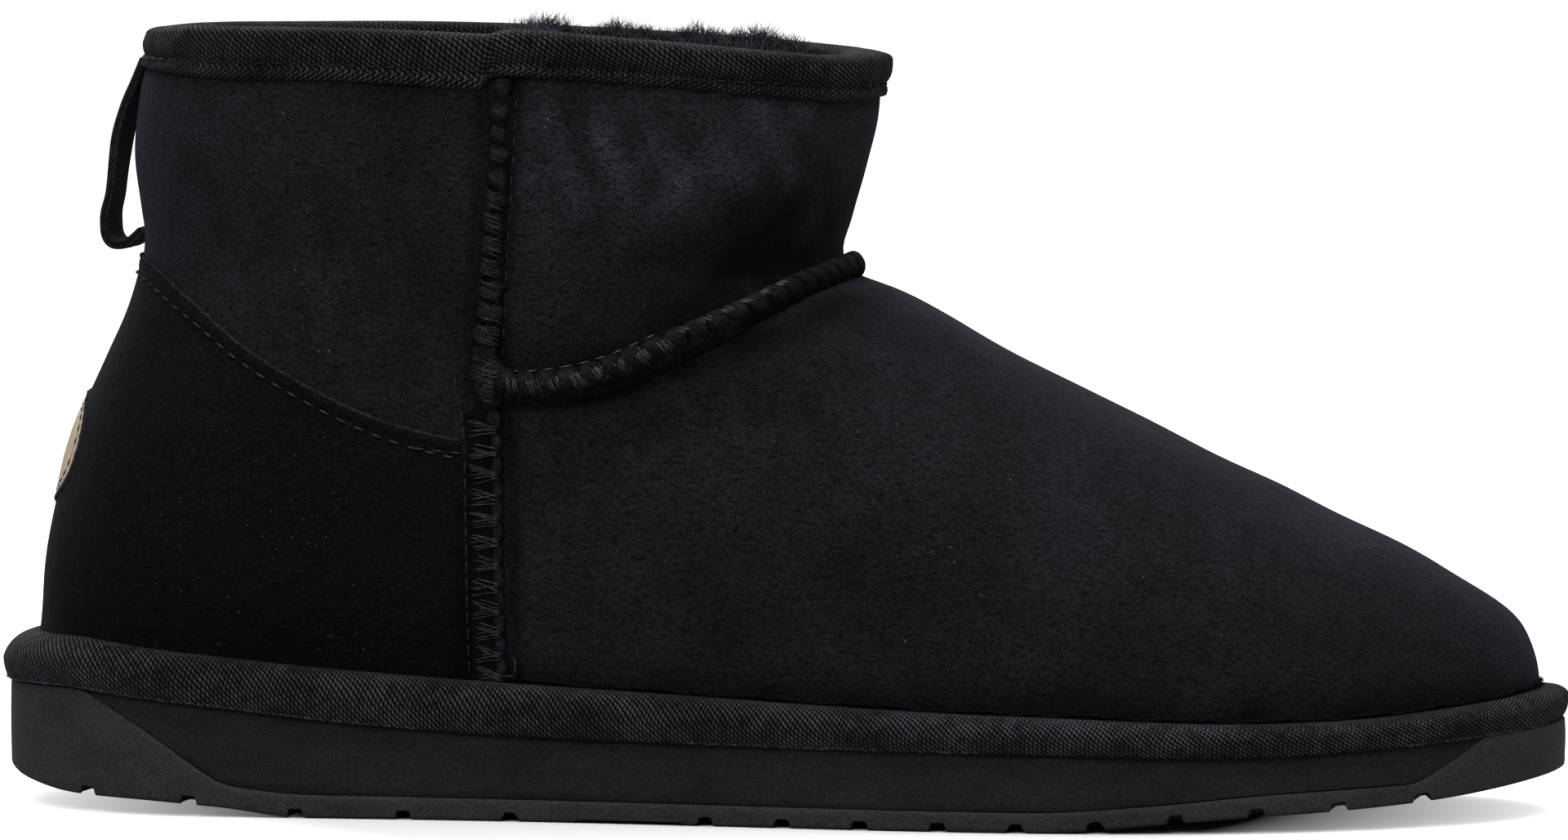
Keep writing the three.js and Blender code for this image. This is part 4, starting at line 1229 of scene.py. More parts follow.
def build_tufts():
    """Curls of wool on the lining below the collar and standing over its edge: each is a short strand that
    leaves the wool's face, leans and curls; those at the edge grow upwards."""
    rng = np.random.default_rng(41)
    long = bpy.context.scene.boot_sizes.wool_length * 1000
    t = np.linspace(0, 1, 5)

    def curls(turn, rise, reach, up, thick):
        """Strands reach millimetres long, each bent by a sine; up is 0 for straight out and 1 for upright."""
        turn, rise = np.asarray(turn), np.asarray(rise)
        root = inner_face(turn, rise, 0.3)
        n = -normal(turn, rise)
        side = unit(np.cross(n, [0, 0, 1.0]))
        lean = unit(n * (1 - up)[:, None] + np.array([0, 0, 1.0]) * up[:, None]
                    + side * rng.normal(0, 0.45, len(turn))[:, None])
        curl = unit(np.cross(lean, rng.normal(size=(len(turn), 3))))
        bow = rng.uniform(0.1, 0.38, len(turn))[:, None, None]
        wave = curl[:, None] * (np.sin(t * HALF * 1.4)[None, :, None] * bow)
        lines = root[:, None] + (lean[:, None] * t[None, :, None] + wave) * reach[:, None, None]
        return tubes(lines, thick * (1 - 0.55 * t)[None] * np.ones((len(turn), 1)), 3)

    inside = 3600
    turn = rng.uniform(0, TURN, inside)
    rise = 1 - rng.uniform(0.02, 0.42, inside) ** 1.25
    tufts = curls(turn, rise, long * rng.uniform(0.3, 0.6, inside), rng.uniform(0.1, 0.5, inside), 0.22)
    settle(new_piece("fleece_tufts", *tufts, finish_of("lining fleece")), "fleece")

    rim = 1000
    parts = []
    turn = rng.uniform(0, TURN, rim)
    parts.append(curls(turn, np.full(rim, RIM), long * rng.uniform(0.25, 0.5, rim),
                       rng.uniform(0.55, 0.85, rim), 0.2))
    for low, high, count, tall, mirrored in RIM_WOOL:
        x = rng.uniform(low, high, count)
        near, _ = place(x, np.full(count, 131.0))
        middle = (1 - np.abs(2 * (x - low) / (high - low) - 1) ** 5) * (0.85 + 0.15 * np.sin(x * 0.9))
        reach = long * tall * rng.uniform(0.62, 1.0, count) * (0.4 + 0.6 * middle)
        parts.append(curls(TURN - near if mirrored else near, np.full(count, RIM), reach,
                           rng.uniform(0.84, 1.0, count), 0.11))
    add_piece("rim_wool", join(parts), "rim wool", "fleece", tidied=False)


def counter_edge(share):
    """Turn and rise of the counter's top edge by a share from -1 at its inner front corner, over the back at
    0, to 1 at the outer one. Found by halving the range of rise until z meets the table's."""
    low, high = np.zeros_like(share), np.full_like(share, 0.95)
    for _ in range(36):
        rise = (low + high) / 2
        p = face(share * counter_turn(rise), rise)
        above = p[..., 2] - UPPER_LIFT > along(COUNTER_TOP["x"], COUNTER_TOP["z"], p[..., 0])
        high = np.where(above, rise, high)
        low = np.where(above, low, rise)
    return share * counter_turn(rise), rise


def counter_turn(rise):
    """The turn at which the outer face reaches the counter's front edge."""
    row = rows_at(rise)
    share = (COUNTER_FRONT - row["back_x"]) / (row["front_x"] - row["back_x"])
    return np.arccos(1 - 2 * share)


def build_counter():
    """The heel counter: a grid over the back of the skin between its front edges and its curved top edge,
    standing proud by 0.55 mm at its edges and 1.55 mm inside them, times the square root of a rounded edge,
    with its cut edge, paler in part as a painted highlight."""
    rim = np.array([0.0, 0.04, 0.12, 0.25, 0.45, 0.75, 1.2, 2.0, 3.0])
    across = np.concatenate([1 - rim / COUNTER_LONG, np.linspace(1 - 4.5 / COUNTER_LONG, 0, 60)])
    across = np.concatenate([-across, across[::-1][1:]])
    _, top = counter_edge(across)
    down = np.concatenate([rim, np.linspace(4.5, COUNTER_TALL, 60)])[:, None]
    rise = top - (top - COUNTER_FOOT) * (down / COUNTER_TALL)
    turn = across[None] * counter_turn(rise)
    from_front = (1 - np.abs(across)) * COUNTER_LONG
    from_edge = np.minimum(np.minimum(down, from_front[None]), 1.1) / 1.1
    proud = (1.0 * ease(0, 9, from_front)[None] * ease(2, 30, down) + 0.55)
    out = 0.1 + (proud - 0.1) * np.sqrt(np.maximum(0, 1 - (1 - from_edge) ** 2))
    edge = np.minimum(down + 0 * across, from_front[None] + 0 * down)
    out = out - 0.22 * bell(down - 3.6, 0.55) * ease(2, 5, from_front)[None] + 0.1 * bell(edge - 1.6, 0.9)
    front = skin(turn, rise, out)
    back = skin(turn, rise, 0.05 + 0 * out)
    rows, cols = front.shape[:2]
    points = np.concatenate([front.reshape(-1, 3), back.reshape(-1, 3)])
    sheet = lattice(rows, cols, flip=True)
    edge_loop = np.concatenate([np.arange(cols), (np.arange(1, rows) * cols + cols - 1),
                                (rows - 1) * cols + np.arange(cols - 2, -1, -1),
                                np.arange(rows - 2, 0, -1) * cols])
    following = np.roll(edge_loop, -1)
    size = rows * cols
    wall = np.stack([edge_loop, following, following + size, edge_loop + size], -1)
    piece = new_piece("counter_suede", points, [sheet, sheet[:, ::-1] + size, wall],
                      finish_of("counter suede"))
    tidy_normals(piece)
    # Painted shade along the stitch row, low down and at the front edges.
    stitch_shade = bell(down - 3.7, 0.75) * ease(1.5, 4, from_front)[None]
    low = 1 - ease(20, 74, front[..., 2])
    deep = np.clip(0.8 * stitch_shade + 0.5 * low + 0.5 * bell(from_front[None] - 0.5, 1.5), 0, 0.95)
    # Painted highlight down the middle of the back and along the edges.
    wear = 0.3 * bell(across, 0.3)[None] * ease(28, 60, front[..., 2]) + 0.22 * bell(edge - 0.7, 0.5)
    wear = wear * (0.8 + 0.3 * ripple(front, 6, 95))
    paint(piece, wear=np.tile(wear.ravel(), 2), deep=np.tile(deep.ravel(), 2))
    settle(piece, "counter_suede", "heel_counter")

    share = np.linspace(-0.985, 0.985, 900)
    turn, rise = counter_edge(share)
    cut = Ridge(turn, rise, 0.3, 0.26, 0.42)
    shape = cut.solid(8, lambda run, angle: 1 + 0.25 * ripple(cut.at(run, angle), 1.6, 96))
    add_piece("counter_cut_edge", shape, "cut edge", "counter_suede")


def paint(piece, **layers):
    """Give a piece one value per point for each named layer, for its material to read."""
    for name, values in layers.items():
        attribute = piece.data.attributes.new(name, "FLOAT", "POINT")
        attribute.data.foreach_set("value", np.clip(values, 0, 1).astype(np.float32))


def heel_map(across, up):
    """Turn and rise of points on the back of the boot, from millimetres round it and over the label's
    middle."""
    _, middle = place(np.array([LABEL["x"]]), np.array([LABEL["z"]]))
    middle = middle[0]
    ring_turn = np.linspace(-0.9, 0.9, 721)
    ring = face(ring_turn, middle)
    run = loop_run(ring)
    run = run - np.interp(0, ring_turn, run)
    turn = np.interp(across, run, ring_turn)
    slope = (face(0.0, middle + 0.02)[2] - face(0.0, middle - 0.02)[2]) / 0.04
    return turn, middle + np.asarray(up) / slope


def label_outline(angle):
    """Points round the label's oval, |across / a|^2.3 + |up / b|^2.3 = 1."""
    power = 2 / LABEL["power"]
    return (LABEL["half_width"] * np.sign(np.cos(angle)) * np.abs(np.cos(angle)) ** power,
            LABEL["half_height"] * np.sign(np.sin(angle)) * np.abs(np.sin(angle)) ** power)


def build_label():
    """The heel label: an oval, domed at its rim, with a bare face and a raised border round it."""
    angle = np.arange(120) / 120 * TURN
    share = np.array([0.02, 0.2, 0.4, 0.6, 0.75, 0.84, 0.87, 0.89, 0.92, 0.95, 0.975, 0.992, 1.0])
    ox, oz = label_outline(angle)
    turn, rise = heel_map(share[:, None] * ox[None], share[:, None] * oz[None])
    edge = np.clip((1 - share) / 0.05, 0, 1)
    dome = 0.2 * np.sqrt(1 - (1 - edge) ** 2)
    out = 1.62 + dome + 0.3 * (1 - share ** 2) - 0.14 * bell(share - 0.88, 0.018)
    top = skin(turn, rise, out[:, None] + 0 * turn)
    under = skin(turn[[-1, 0]], rise[[-1, 0]], 1.6 + 0 * turn[:2])
    rings = np.concatenate([top, under])
    count = len(rings)
    centre_turn, centre_rise = heel_map(np.array([0.0]), np.array([0.0]))
    poles = np.concatenate([skin(centre_turn, centre_rise, 2.12), skin(centre_turn, centre_rise, 1.6)])
    points = np.concatenate([rings.reshape(-1, 3), poles])
    first, last = fans(count, 120)
    quads = lattice(count, 120, wrap_cols=True)
    u = np.concatenate([share, [1.0, 0.0], [0.0, 0.0]])
    ring_of = np.minimum(np.concatenate([np.repeat(np.arange(count), 120), [count, count + 1]]), len(u) - 1)
    uv = [np.stack([u[ring_of[f]], 0 * u[ring_of[f]]], -1) for f in (quads, first, last)]
    piece = new_piece("heel_label_leather", points, [quads, first, last], finish_of("label leather"), uv)
    tidy_normals(piece)
    settle(piece, "label_leather", "heel_label")

    rng = np.random.default_rng(81)
    welt_turn, welt_rise = heel_map(np.append(ox, ox[0]) * 1.02, np.append(oz, oz[0]) * 1.03)
    welt = Ridge(welt_turn, welt_rise, 0.6, 0.42, 1.5)
    parts = [welt.solid(12, lambda run, angle: 0.9 + 0.22 * lumps(run, 2.4)
                        + 0.1 * ripple(welt.at(run, angle), 1.8, 82, 16)),
             fluff(welt, 450, (0.1, HALF - 0.1), 0.5, 0.05, rng)]
    # The welt takes the cut edge's finish, paler in part as a painted highlight.
    add_piece("heel_label_welt", join(parts), "cut edge", "counter_suede")


def build_collar():
    """The collar tape: a U over the rim. Its outside is a flat selvedge, a groove for the stitches and a
    puffed fold, and where its ends lap at the outer side seam one lies over the other."""
    turn = np.arange(900) / 900 * TURN
    flank = face(turn, 0.97)
    lap = 0.5 * ease(-44.2, -43.2, flank[:, 0]) * (1 - ease(-43, -18, flank[:, 0])) * (flank[:, 1] < 0)
    pucker = 0.1 * ripple(flank, 5.5, 51) + 0.16 * ripple(flank, 15, 52)
    back = bell(flank[:, 0] + 118, 30)
    rows = []

    raised = 0.008 * bell((flank[:, 0] + 116) / 128, 0.1)
    outer = ease(2, 20, -flank[:, 1])
    rim_lift, hem_lift = (along(COLLAR_SWAY["x"], COLLAR_SWAY[name], flank[:, 0]) * outer
                          for name in ("rim", "hem"))

    def row(rise, out, up=0.0, soft=1.0):
        """One ring of the tape: how far out and up it stands, and how much it puckers."""
        level = rise + raised * np.clip((1 - rise) / (1 - BINDING_LOW), 0, 1)
        p = face(turn, level)
        n = normal(turn, level)
        p = p + n * (out + soft * (pucker + lap))[:, None]
        share = ease(BINDING_LOW, 0.995, rise)
        p[:, 2] += up + 0.25 * pucker * soft + rim_lift * share + hem_lift * (1 - share)
        rows.append(p)

    low = BINDING_LOW
    row(low, 0.12, soft=0)
    row(low - 0.0012, 0.5 + 0.2 * back, soft=0.4)
    row(low + 0.0005, 0.95 + 0.2 * back, soft=0.7)
    for over, out in COLLAR_OUTSIDE:
        row(low + over, out)
    for angle in np.linspace(0.08, HALF - 0.08, 13):
        row(1.0, -2.0 + 3.9 * math.cos(angle), 1.75 * math.sin(angle) ** 0.75, max(0.0, math.cos(angle)))
    for rise, out, up in COLLAR_INSIDE:
        row(rise, out, up, 0)
    rings = np.array(rows)
    count, around = rings.shape[:2]
    v = np.concatenate([[0], np.cumsum(np.linalg.norm(np.diff(rings[:, 225], axis=0), axis=1)), [0]])
    uv = cloth_uv(count, around, True, True, around_length(rings[12])[None], v[:, None])
    piece = new_piece("collar_tape", rings, [lattice(count, around, True, True)],
                      finish_of("collar twill"), [uv])
    tidy_normals(piece)
    settle(piece, "twill", "collar_binding")


def build_loop():
    """The pull loop: a strip of folded tape carried along its route, 13 mm wide, its two layers parted by a
    line along both edges."""
    route = np.column_stack([LOOP_ROUTE["x"], LOOP_ROUTE["z"] + UPPER_LIFT])
    knots = np.concatenate([[0], np.cumsum(np.linalg.norm(np.diff(route, axis=0), axis=1))])
    s = np.linspace(0, knots[-1], 110)
    line = np.column_stack([along(knots, route[:, 0], s), along(knots, route[:, 1], s)])
    line[:, 0] = soften(line[:, 0], 2)
    line[:, 1] = soften(line[:, 1], 2)
    way = unit(np.gradient(line, axis=0))
    side = np.column_stack([way[:, 1], -way[:, 0]])
    profile = np.array([(-1, 0, 0.85), (-1, 0.28, 1.0), (-1, 0.75, 0.99), (-1, 1, 0.94), (-0.6, 1, 0.86),
                        (-0.3, 1, 0.6), (0, 1.04, 0.0), (0.3, 1, -0.6), (0.6, 1, -0.86), (1, 1, -0.94),
                        (1, 0.75, -0.99), (1, 0.28, -1.0), (1, 0, -0.85), (1, -0.28, -1.0), (1, -0.75, -0.99),
                        (1, -1, -0.94), (0.6, -1, -0.86), (0.3, -1, -0.6), (0, -1.04, 0.0), (-0.3, -1, 0.6),
                        (-0.6, -1, 0.86), (-1, -1, 0.94), (-1, -0.75, 0.99), (-1, -0.28, 1.0)])
    width, height_share = profile[:, 2] * LOOP_HALF_WIDTH, profile[:, 1] * LOOP_HALF_THICK
    wave = 0.25 * np.sin(s / 5.2) + 0.18 * np.sin(s / 2.3 + 1.0)
    rings = np.zeros((len(s), len(profile), 3))
    for i, (w, h) in enumerate(zip(width, height_share)):
        edge = abs(w) / LOOP_HALF_WIDTH
        rings[:, i, 0] = line[:, 0] + side[:, 0] * (h + wave * 0.5 * edge ** 2 * np.sign(w))
        rings[:, i, 2] = line[:, 1] + side[:, 1] * (h + wave * 0.5 * edge ** 2 * np.sign(w))
        rings[:, i, 1] = -w * (1 + 0.03 * np.sin(s / 3.1))
    ends = np.stack([rings[0].mean(0), rings[-1].mean(0)])
    count, sides = rings.shape[:2]
    first, last = fans(count, sides)
    quads = lattice(count, sides, wrap_cols=True)
    piece = new_piece("pull_loop_strap", np.concatenate([rings.reshape(-1, 3), ends]), [quads, first, last],
                      finish_of("loop tape"))
    tidy_normals(piece)
    settle(piece, "twill", "pull_loop")


def side_path(low, high, shift=0.0, inner=False, count=240):
    """Turn and rise up a side seam between two heights."""
    z = np.linspace(low, high, count)
    return place(along(SIDE_SEAM["z"], SIDE_SEAM["x"], z) + shift, z, inner)


def build_side_seams():
    """Both side seams. Above the vamp seam a rolled ridge, wrapped at even steps; below it a flat band under
    crossing threads with a narrow ridge at its toe side; a knot where they meet."""
    rng = np.random.default_rng(61)
    pitch = bpy.context.scene.boot_sizes.wrap_pitch * 1000
    leather, wool, threads, fine, gaps, hollow = [], [], [], [], [], []

    def stuff(part, depth=None):
        """Add a part of the wool with the painted shade of each of its points, 0 everywhere unless given."""
        wool.append(part)
        values = np.zeros(len(part[0]))
        if depth is not None:
            values[:depth.size] = depth.ravel()
        hollow.append(values)

    def between(ridge, sides, start=0.0):
        """Painted shade where a wrap pulls the wool in, and along both feet of the ridge."""
        angle = np.arange(sides) / sides * TURN
        pulled = 0.85 * (1 - lumps(ridge.run[1:-1], pitch, start))[:, None] ** 1.3
        return np.clip(pulled + 0.75 * ease(0.72, 0.98, np.abs(np.cos(angle)))[None], 0, 0.95)

    for inner in (False, True):
        upper = Ridge(*side_path(77.5, 127.6, 0.0, inner), lambda s: 2.55 - 1.2 * s ** 0.8,
                      lambda s: 1.75 - 0.55 * s, 0.35)
        seed = 62 + inner

        def swell(run, angle):
            soft = ripple(upper.at(run, angle), 2.4, seed, 20)
            side = 1 + 0.2 * np.sin(run / 2.9) * np.cos(angle)
            return (0.66 + 0.38 * lumps(run, pitch) + 0.2 * soft) * side

        stuff(upper.solid(22, swell), between(upper, 22))
        marks = np.arange(pitch, upper.run[-1] - 1, pitch)
        stuff(fluff(upper, 1350, (0.1, HALF - 0.1), 0.7, 0.055, rng))
        lower_marks = marks[marks < upper.run[-1] * 0.55]
        low_marks = lower_marks + pitch / 2
        threads.append(wraps(upper, low_marks, 6, 2.6, (0.2, HALF - 0.25), -1.6, 0.08, rng, 0.1))
        threads.append(wraps(upper, low_marks, 2, 2.0, (0.3, HALF - 0.3), 1.9, 0.06, rng, 0.05))
        high_marks = marks[marks >= upper.run[-1] * 0.55][:-1]
        threads.append(wraps(upper, high_marks + pitch / 2, 4, 1.3, (0.3, HALF - 0.5), -1.8, 0.08, rng, 0.1))
        # Near-black wraps sunk in at each mark: painted shade in the gaps between the puffs.
        gaps.append(wraps(upper, marks, 4, 0.75, (0.15, HALF - 0.15), -0.7, 0.13, rng, -0.42))

        band = Ridge(*side_path(22.5, 70.4, -2.9, inner), 3.3, 0.85, -0.15)
        leather.append(band.solid(20, lambda run, angle: 1 + 0.02 * np.sin(run * 1.6)))
        roll = Ridge(*side_path(22.3, 76.0, -0.15, inner), lambda s: 0.9 + 0.55 * ease(0.72, 1, s),
                     lambda s: 1.15 + 0.5 * ease(0.72, 1, s), 0.35)
        stuff(roll.solid(16, lambda run, angle: 0.78 + 0.3 * lumps(run, pitch, 1.2)
                         + 0.16 * ripple(roll.at(run, angle), 2.0, seed + 7, 18)), between(roll, 16, 1.2))
        stuff(fluff(roll, 560, (0.1, HALF - 0.1), 0.5, 0.055, rng))
        side = 1 if inner else -1
        for start, lean, count in ((1.0, 0.9, 4), (2.0, -1.4, 4)):
            levels = np.arange(start, band.run[-1] - 0.9, pitch)
            levels = (levels[:, None] + rng.normal(0, 0.16, (len(levels), count))
                      + np.linspace(-0.5, 0.5, count)).ravel()
            t = np.linspace(0, 1, 9)
            tilt = (lean * rng.uniform(0.5, 1.5, len(levels)))[:, None]
            begin = rng.uniform(0.02, 0.34, len(levels))[:, None]
            width = (begin + (1.14 - begin) * t) * 5.4
            run = levels[:, None] + tilt * (t - 0.5)
            z = np.interp(run, band.run, band.p[:, 2]) - UPPER_LIFT
            x = along(SIDE_SEAM["z"], SIDE_SEAM["x"], z) - 5.6 + width
            turn, rise = place(x, z, inner)
            over = 0.78 + 1.3 * bell(width - 5.3, 1.7) - 0.75 * bell(t - 1, 0.05) - 0.55 * bell(t, 0.06)
            lines = skin(turn, rise, over + rng.uniform(-0.05, 0.15, len(levels))[:, None])
            threads.append(tubes(lines, 0.08 * rng.uniform(0.6, 1.2, len(levels))[:, None] + 0 * t, 5))

        knot = Ridge(*side_path(70.4, 80.6, 0.2, inner, 60), lambda s: 3.1 * np.sin(HALF * s) ** 0.6 + 0.05,
                     lambda s: 2.3 * np.sin(HALF * s) ** 0.6 + 0.05, 0.5)
        stuff(knot.solid(20, lambda run, angle: 0.95
                         + 0.17 * ripple(knot.at(run, angle), 2.6, seed + 11, 18)))
        stuff(fluff(knot, 360, (0.05, HALF - 0.05), 1.2, 0.06, rng))
        threads.append(wraps(knot, [2.2, 4.2, 6.3, 8.0], 6, 1.8, (0.3, HALF - 0.3), -2.2, 0.09, rng, 0.12))
        threads.append(wraps(knot, [3.4, 5.6, 7.2], 3, 1.6, (0.3, HALF - 0.3), 2.6, 0.08, rng, 0.2))

        fine.append(stitch_row(*side_path(24, 79, -5.6, inner), pitch=2.9, fill=0.9, radius=0.13, high=0.25,
                               sink=0.2, out=0.42))
        fine.append(stitch_row(*side_path(79, 126.5, 2.6, inner), pitch=3.3, fill=0.6,
                               radius=0.13, high=0.12, sink=0.3, out=0.0))
        t = np.linspace(0, 1, 26)
        hook_x = -48.6 + 6.8 * np.sin(t * HALF * 0.62)
        hook_z = 23.6 + 0.7 * np.sin(t * HALF) + 3.4 * ease(0.62, 1, t)
        turn, rise = place(hook_x, hook_z, inner)
        hook = skin(turn, rise, 0.9 + 1.1 * np.sin(t * HALF))
        threads.append(tubes(hook[None], 0.1, 6))
    for name, parts, finish in (("side_seam_bands", leather, "band suede"),
                                ("side_seam_wool", wool, "seam fluff"),
                                ("side_seam_threads", threads, "side thread"),
                                ("side_seam_gaps", gaps, "dark thread"),
                                ("side_seam_stitches", fine, "stitch thread")):
        points, faces = join(parts)
        piece = new_piece(name, points, faces, finish_of(finish))
        if parts is wool:
            paint(piece, deep=np.concatenate(hollow))
        tidy_normals(piece)
        settle(piece, "suede")


def build_vamp_seam():
    """The vamp seam from one side seam over the throat to the other: a rolled lip of leather with a nick at
    every wrap, ragged wool under it near the side seams, whip threads in bundles, near-black
    wraps in the nicks as painted shade and a lockstitch above."""
    rng = np.random.default_rng(71)
    pitch = bpy.context.scene.boot_sizes.wrap_pitch * 1000
    turn = np.concatenate([SEAM_TURN, TURN - SEAM_TURN[-2::-1]])
    rise = np.concatenate([SEAM_RISE, SEAM_RISE[-2::-1]])
    fine_turn = np.linspace(turn[0], turn[-1], 900)
    fine_rise = soften(along(turn, rise, fine_turn), 6)
    even_turn, even_rise = evenly(fine_turn, fine_rise, 0.3)
    seam = Ridge(fine_turn, fine_rise, lambda s: 2.5 - 0.25 * bell(s - 0.5, 0.3),
                 lambda s: 1.75 + 0.15 * bell(s - 0.5, 0.3), 0.95, 0.3)
    whole = seam.run[-1]

    def ragged(run):
        """1 at the side seams, fading to 0 some 42 mm from them."""
        return 1 - ease(20, 42, np.minimum(run, whole - run))

    def swell(run, angle):
        nick = bell(np.mod(run + 0.5 * pitch, pitch) - 0.5 * pitch, 0.4)
        noise = ripple(seam.at(run, angle), 2.1, 72, 22)
        lower = np.clip(-np.cos(angle), 0, 1) + 0.3 * np.sin(angle)
        return (1 + 0.09 * lumps(run, pitch) - 0.19 * nick * (1 - 0.3 * ragged(run))
                + ragged(run) * lower * (0.2 * noise + 0.06) + 0.025 * noise)

    roll = new_piece("vamp_seam_roll", *seam.solid(26, swell), finish_of("seam suede"))
    angle = (np.arange(26) / 26 * TURN)[None]
    run = seam.run[1:-1, None]
    # Painted shade on the roll's lower half, one flank and the nicks; painted highlight on its upper face.
    nick = bell(np.mod(run + 0.5 * pitch, pitch) - 0.5 * pitch, 0.55)
    deep = 0.9 * ease(HALF * 0.42, HALF * 0.75, angle) + 0.75 * nick + 0.8 * ease(HALF * 0.15, 0, angle)
    wear = 0.3 * bell(angle - HALF * 0.27, 0.35) * (0.7 + 0.3 * ripple(seam.at(run, angle), 3, 75))
    ends = np.zeros(2)
    paint(roll, deep=np.append(np.clip(deep, 0, 0.95).ravel(), ends), wear=np.append(wear.ravel(), ends))
    settle(roll, "suede")

    fibres = []
    for low, high in ((1, 44), (whole - 44, whole - 1)):
        fibres.append(fluff(seam, 2300, (HALF * 0.6, HALF * 1.08), 1.5, 0.068, rng, 0.98, (low, high)))
    fibres.append(fluff(seam, 700, (HALF * 0.2, HALF), 0.45, 0.045, rng))
    points, faces = join(fibres)
    wool = new_piece("vamp_seam_wool", points, faces, finish_of("seam fluff"))
    paint(wool, deep=np.zeros(len(points)))
    settle(wool, "fleece")

    marks = np.arange(pitch, whole - pitch / 2, pitch)
    near = ragged(marks) > 0.35
    threads = [wraps(seam, marks[near], 7, 1.9, (HALF * 0.22, HALF * 0.76), 1.5, 0.085, rng, 0.1)]
    middle = (~near) & (np.minimum(marks, whole - marks) < 56)
    threads.append(wraps(seam, marks[middle], 6, 1.5, (HALF * 0.14, HALF * 0.45), 1.2, 0.08, rng, 0.06))
    # Near-black wraps in the nicks: painted shade between the puffs.
    dark = [wraps(seam, marks[~near], 4, 0.75, (0.15, HALF - 0.2), 0.8, 0.11, rng, -0.15),
            wraps(seam, marks[near] + 1.3, 3, 0.5, (0.15, HALF - 0.2), 1.5, 0.11, rng, -0.08),
            wraps(seam, marks[near] - 1.2, 2, 0.35, (0.15, HALF - 0.2), 1.5, 0.11, rng, -0.08)]
    cord = new_piece("vamp_seam_wraps", *join(dark), finish_of("dark thread"))
    tidy_normals(cord)
    settle(cord, "suede")
    for begin, end in ((0.6, 34.0), (whole - 34.0, whole - 0.6)):
        run = np.linspace(begin, end, 120)
        base_turn = np.interp(run, seam.run, even_turn)
        base_rise = np.interp(run, seam.run, even_rise)
        above = 0.0188 + 0.006 * (1 - ease(6, 26, np.minimum(run, whole - run)))
        threads.append(stitch_row(base_turn, base_rise + above, 3.1, 0.82, 0.15, 0.34, 0.3, 0.1))
    add_piece("vamp_seam_threads", join(threads), "seam thread", "suede")


def build_stitches():
    """Lockstitches: round the collar tape, below the counter's top edge, doubled at its ends, and round the
    label."""
    pitch = bpy.context.scene.boot_sizes.stitch_pitch * 1000
    turn = np.linspace(0, TURN, 1200)
    shape = stitch_row(turn, np.full_like(turn, BINDING_LOW + 0.0165), pitch * 1.06, 0.78, 0.2, 0.22,
                               0.3, 0.85)
    add_piece("collar_stitches", shape, "tape stitch", "twill")

    share = np.linspace(-0.985, 0.985, 700)
    turn, rise = counter_edge(share)
    down = 3.6 / RISE_SPAN
    rows = [stitch_row(turn, rise - down, pitch * 0.97, 0.72, 0.21, 0.22, 0.3, 0.62)]
    for low, high in ((0.9, 0.998), (-0.998, -0.9)):
        share = np.linspace(low, high, 60)
        turn, rise = counter_edge(share)
        closer = 0.013 * (np.abs(share) - 0.9) / 0.1
        rows.append(stitch_row(turn, rise - down + closer, pitch * 0.97, 0.8, 0.17, 0.25, 0.3, 0.55))
    angle = np.linspace(0, TURN, 400)
    ox, oz = label_outline(angle)
    turn, rise = heel_map(ox * 0.88, oz * 0.88)
    add_piece("counter_stitches", join(rows), "stitch thread", "counter_suede")
    shape = stitch_row(turn, rise, 2.4, 0.7, 0.14, 0.1, 0.2, 1.8)
    add_piece("label_stitches", shape, "tape stitch", "label_leather")


def aim(obj, target):
    """Points a light or camera's -Z at a place."""
    way = np.array(target, float) - np.array(obj.location)
    obj.rotation_euler = (math.acos(-way[2] / np.linalg.norm(way)), 0, math.atan2(way[0], -way[1]) + HALF)


def soft_light(name, place_at, target, width, height_of, power, colour=(1, 1, 1)):
    """A rectangular light aimed at a point."""
    data = bpy.data.lights.new(name, "AREA")
    data.shape = "RECTANGLE"
    data.size = width
    data.size_y = height_of
    data.energy = power
    data.color = colour
    lamp = bpy.data.objects.new(name, data)
    bpy.context.scene.collection.objects.link(lamp)
    lamp.location = place_at
    aim(lamp, target)


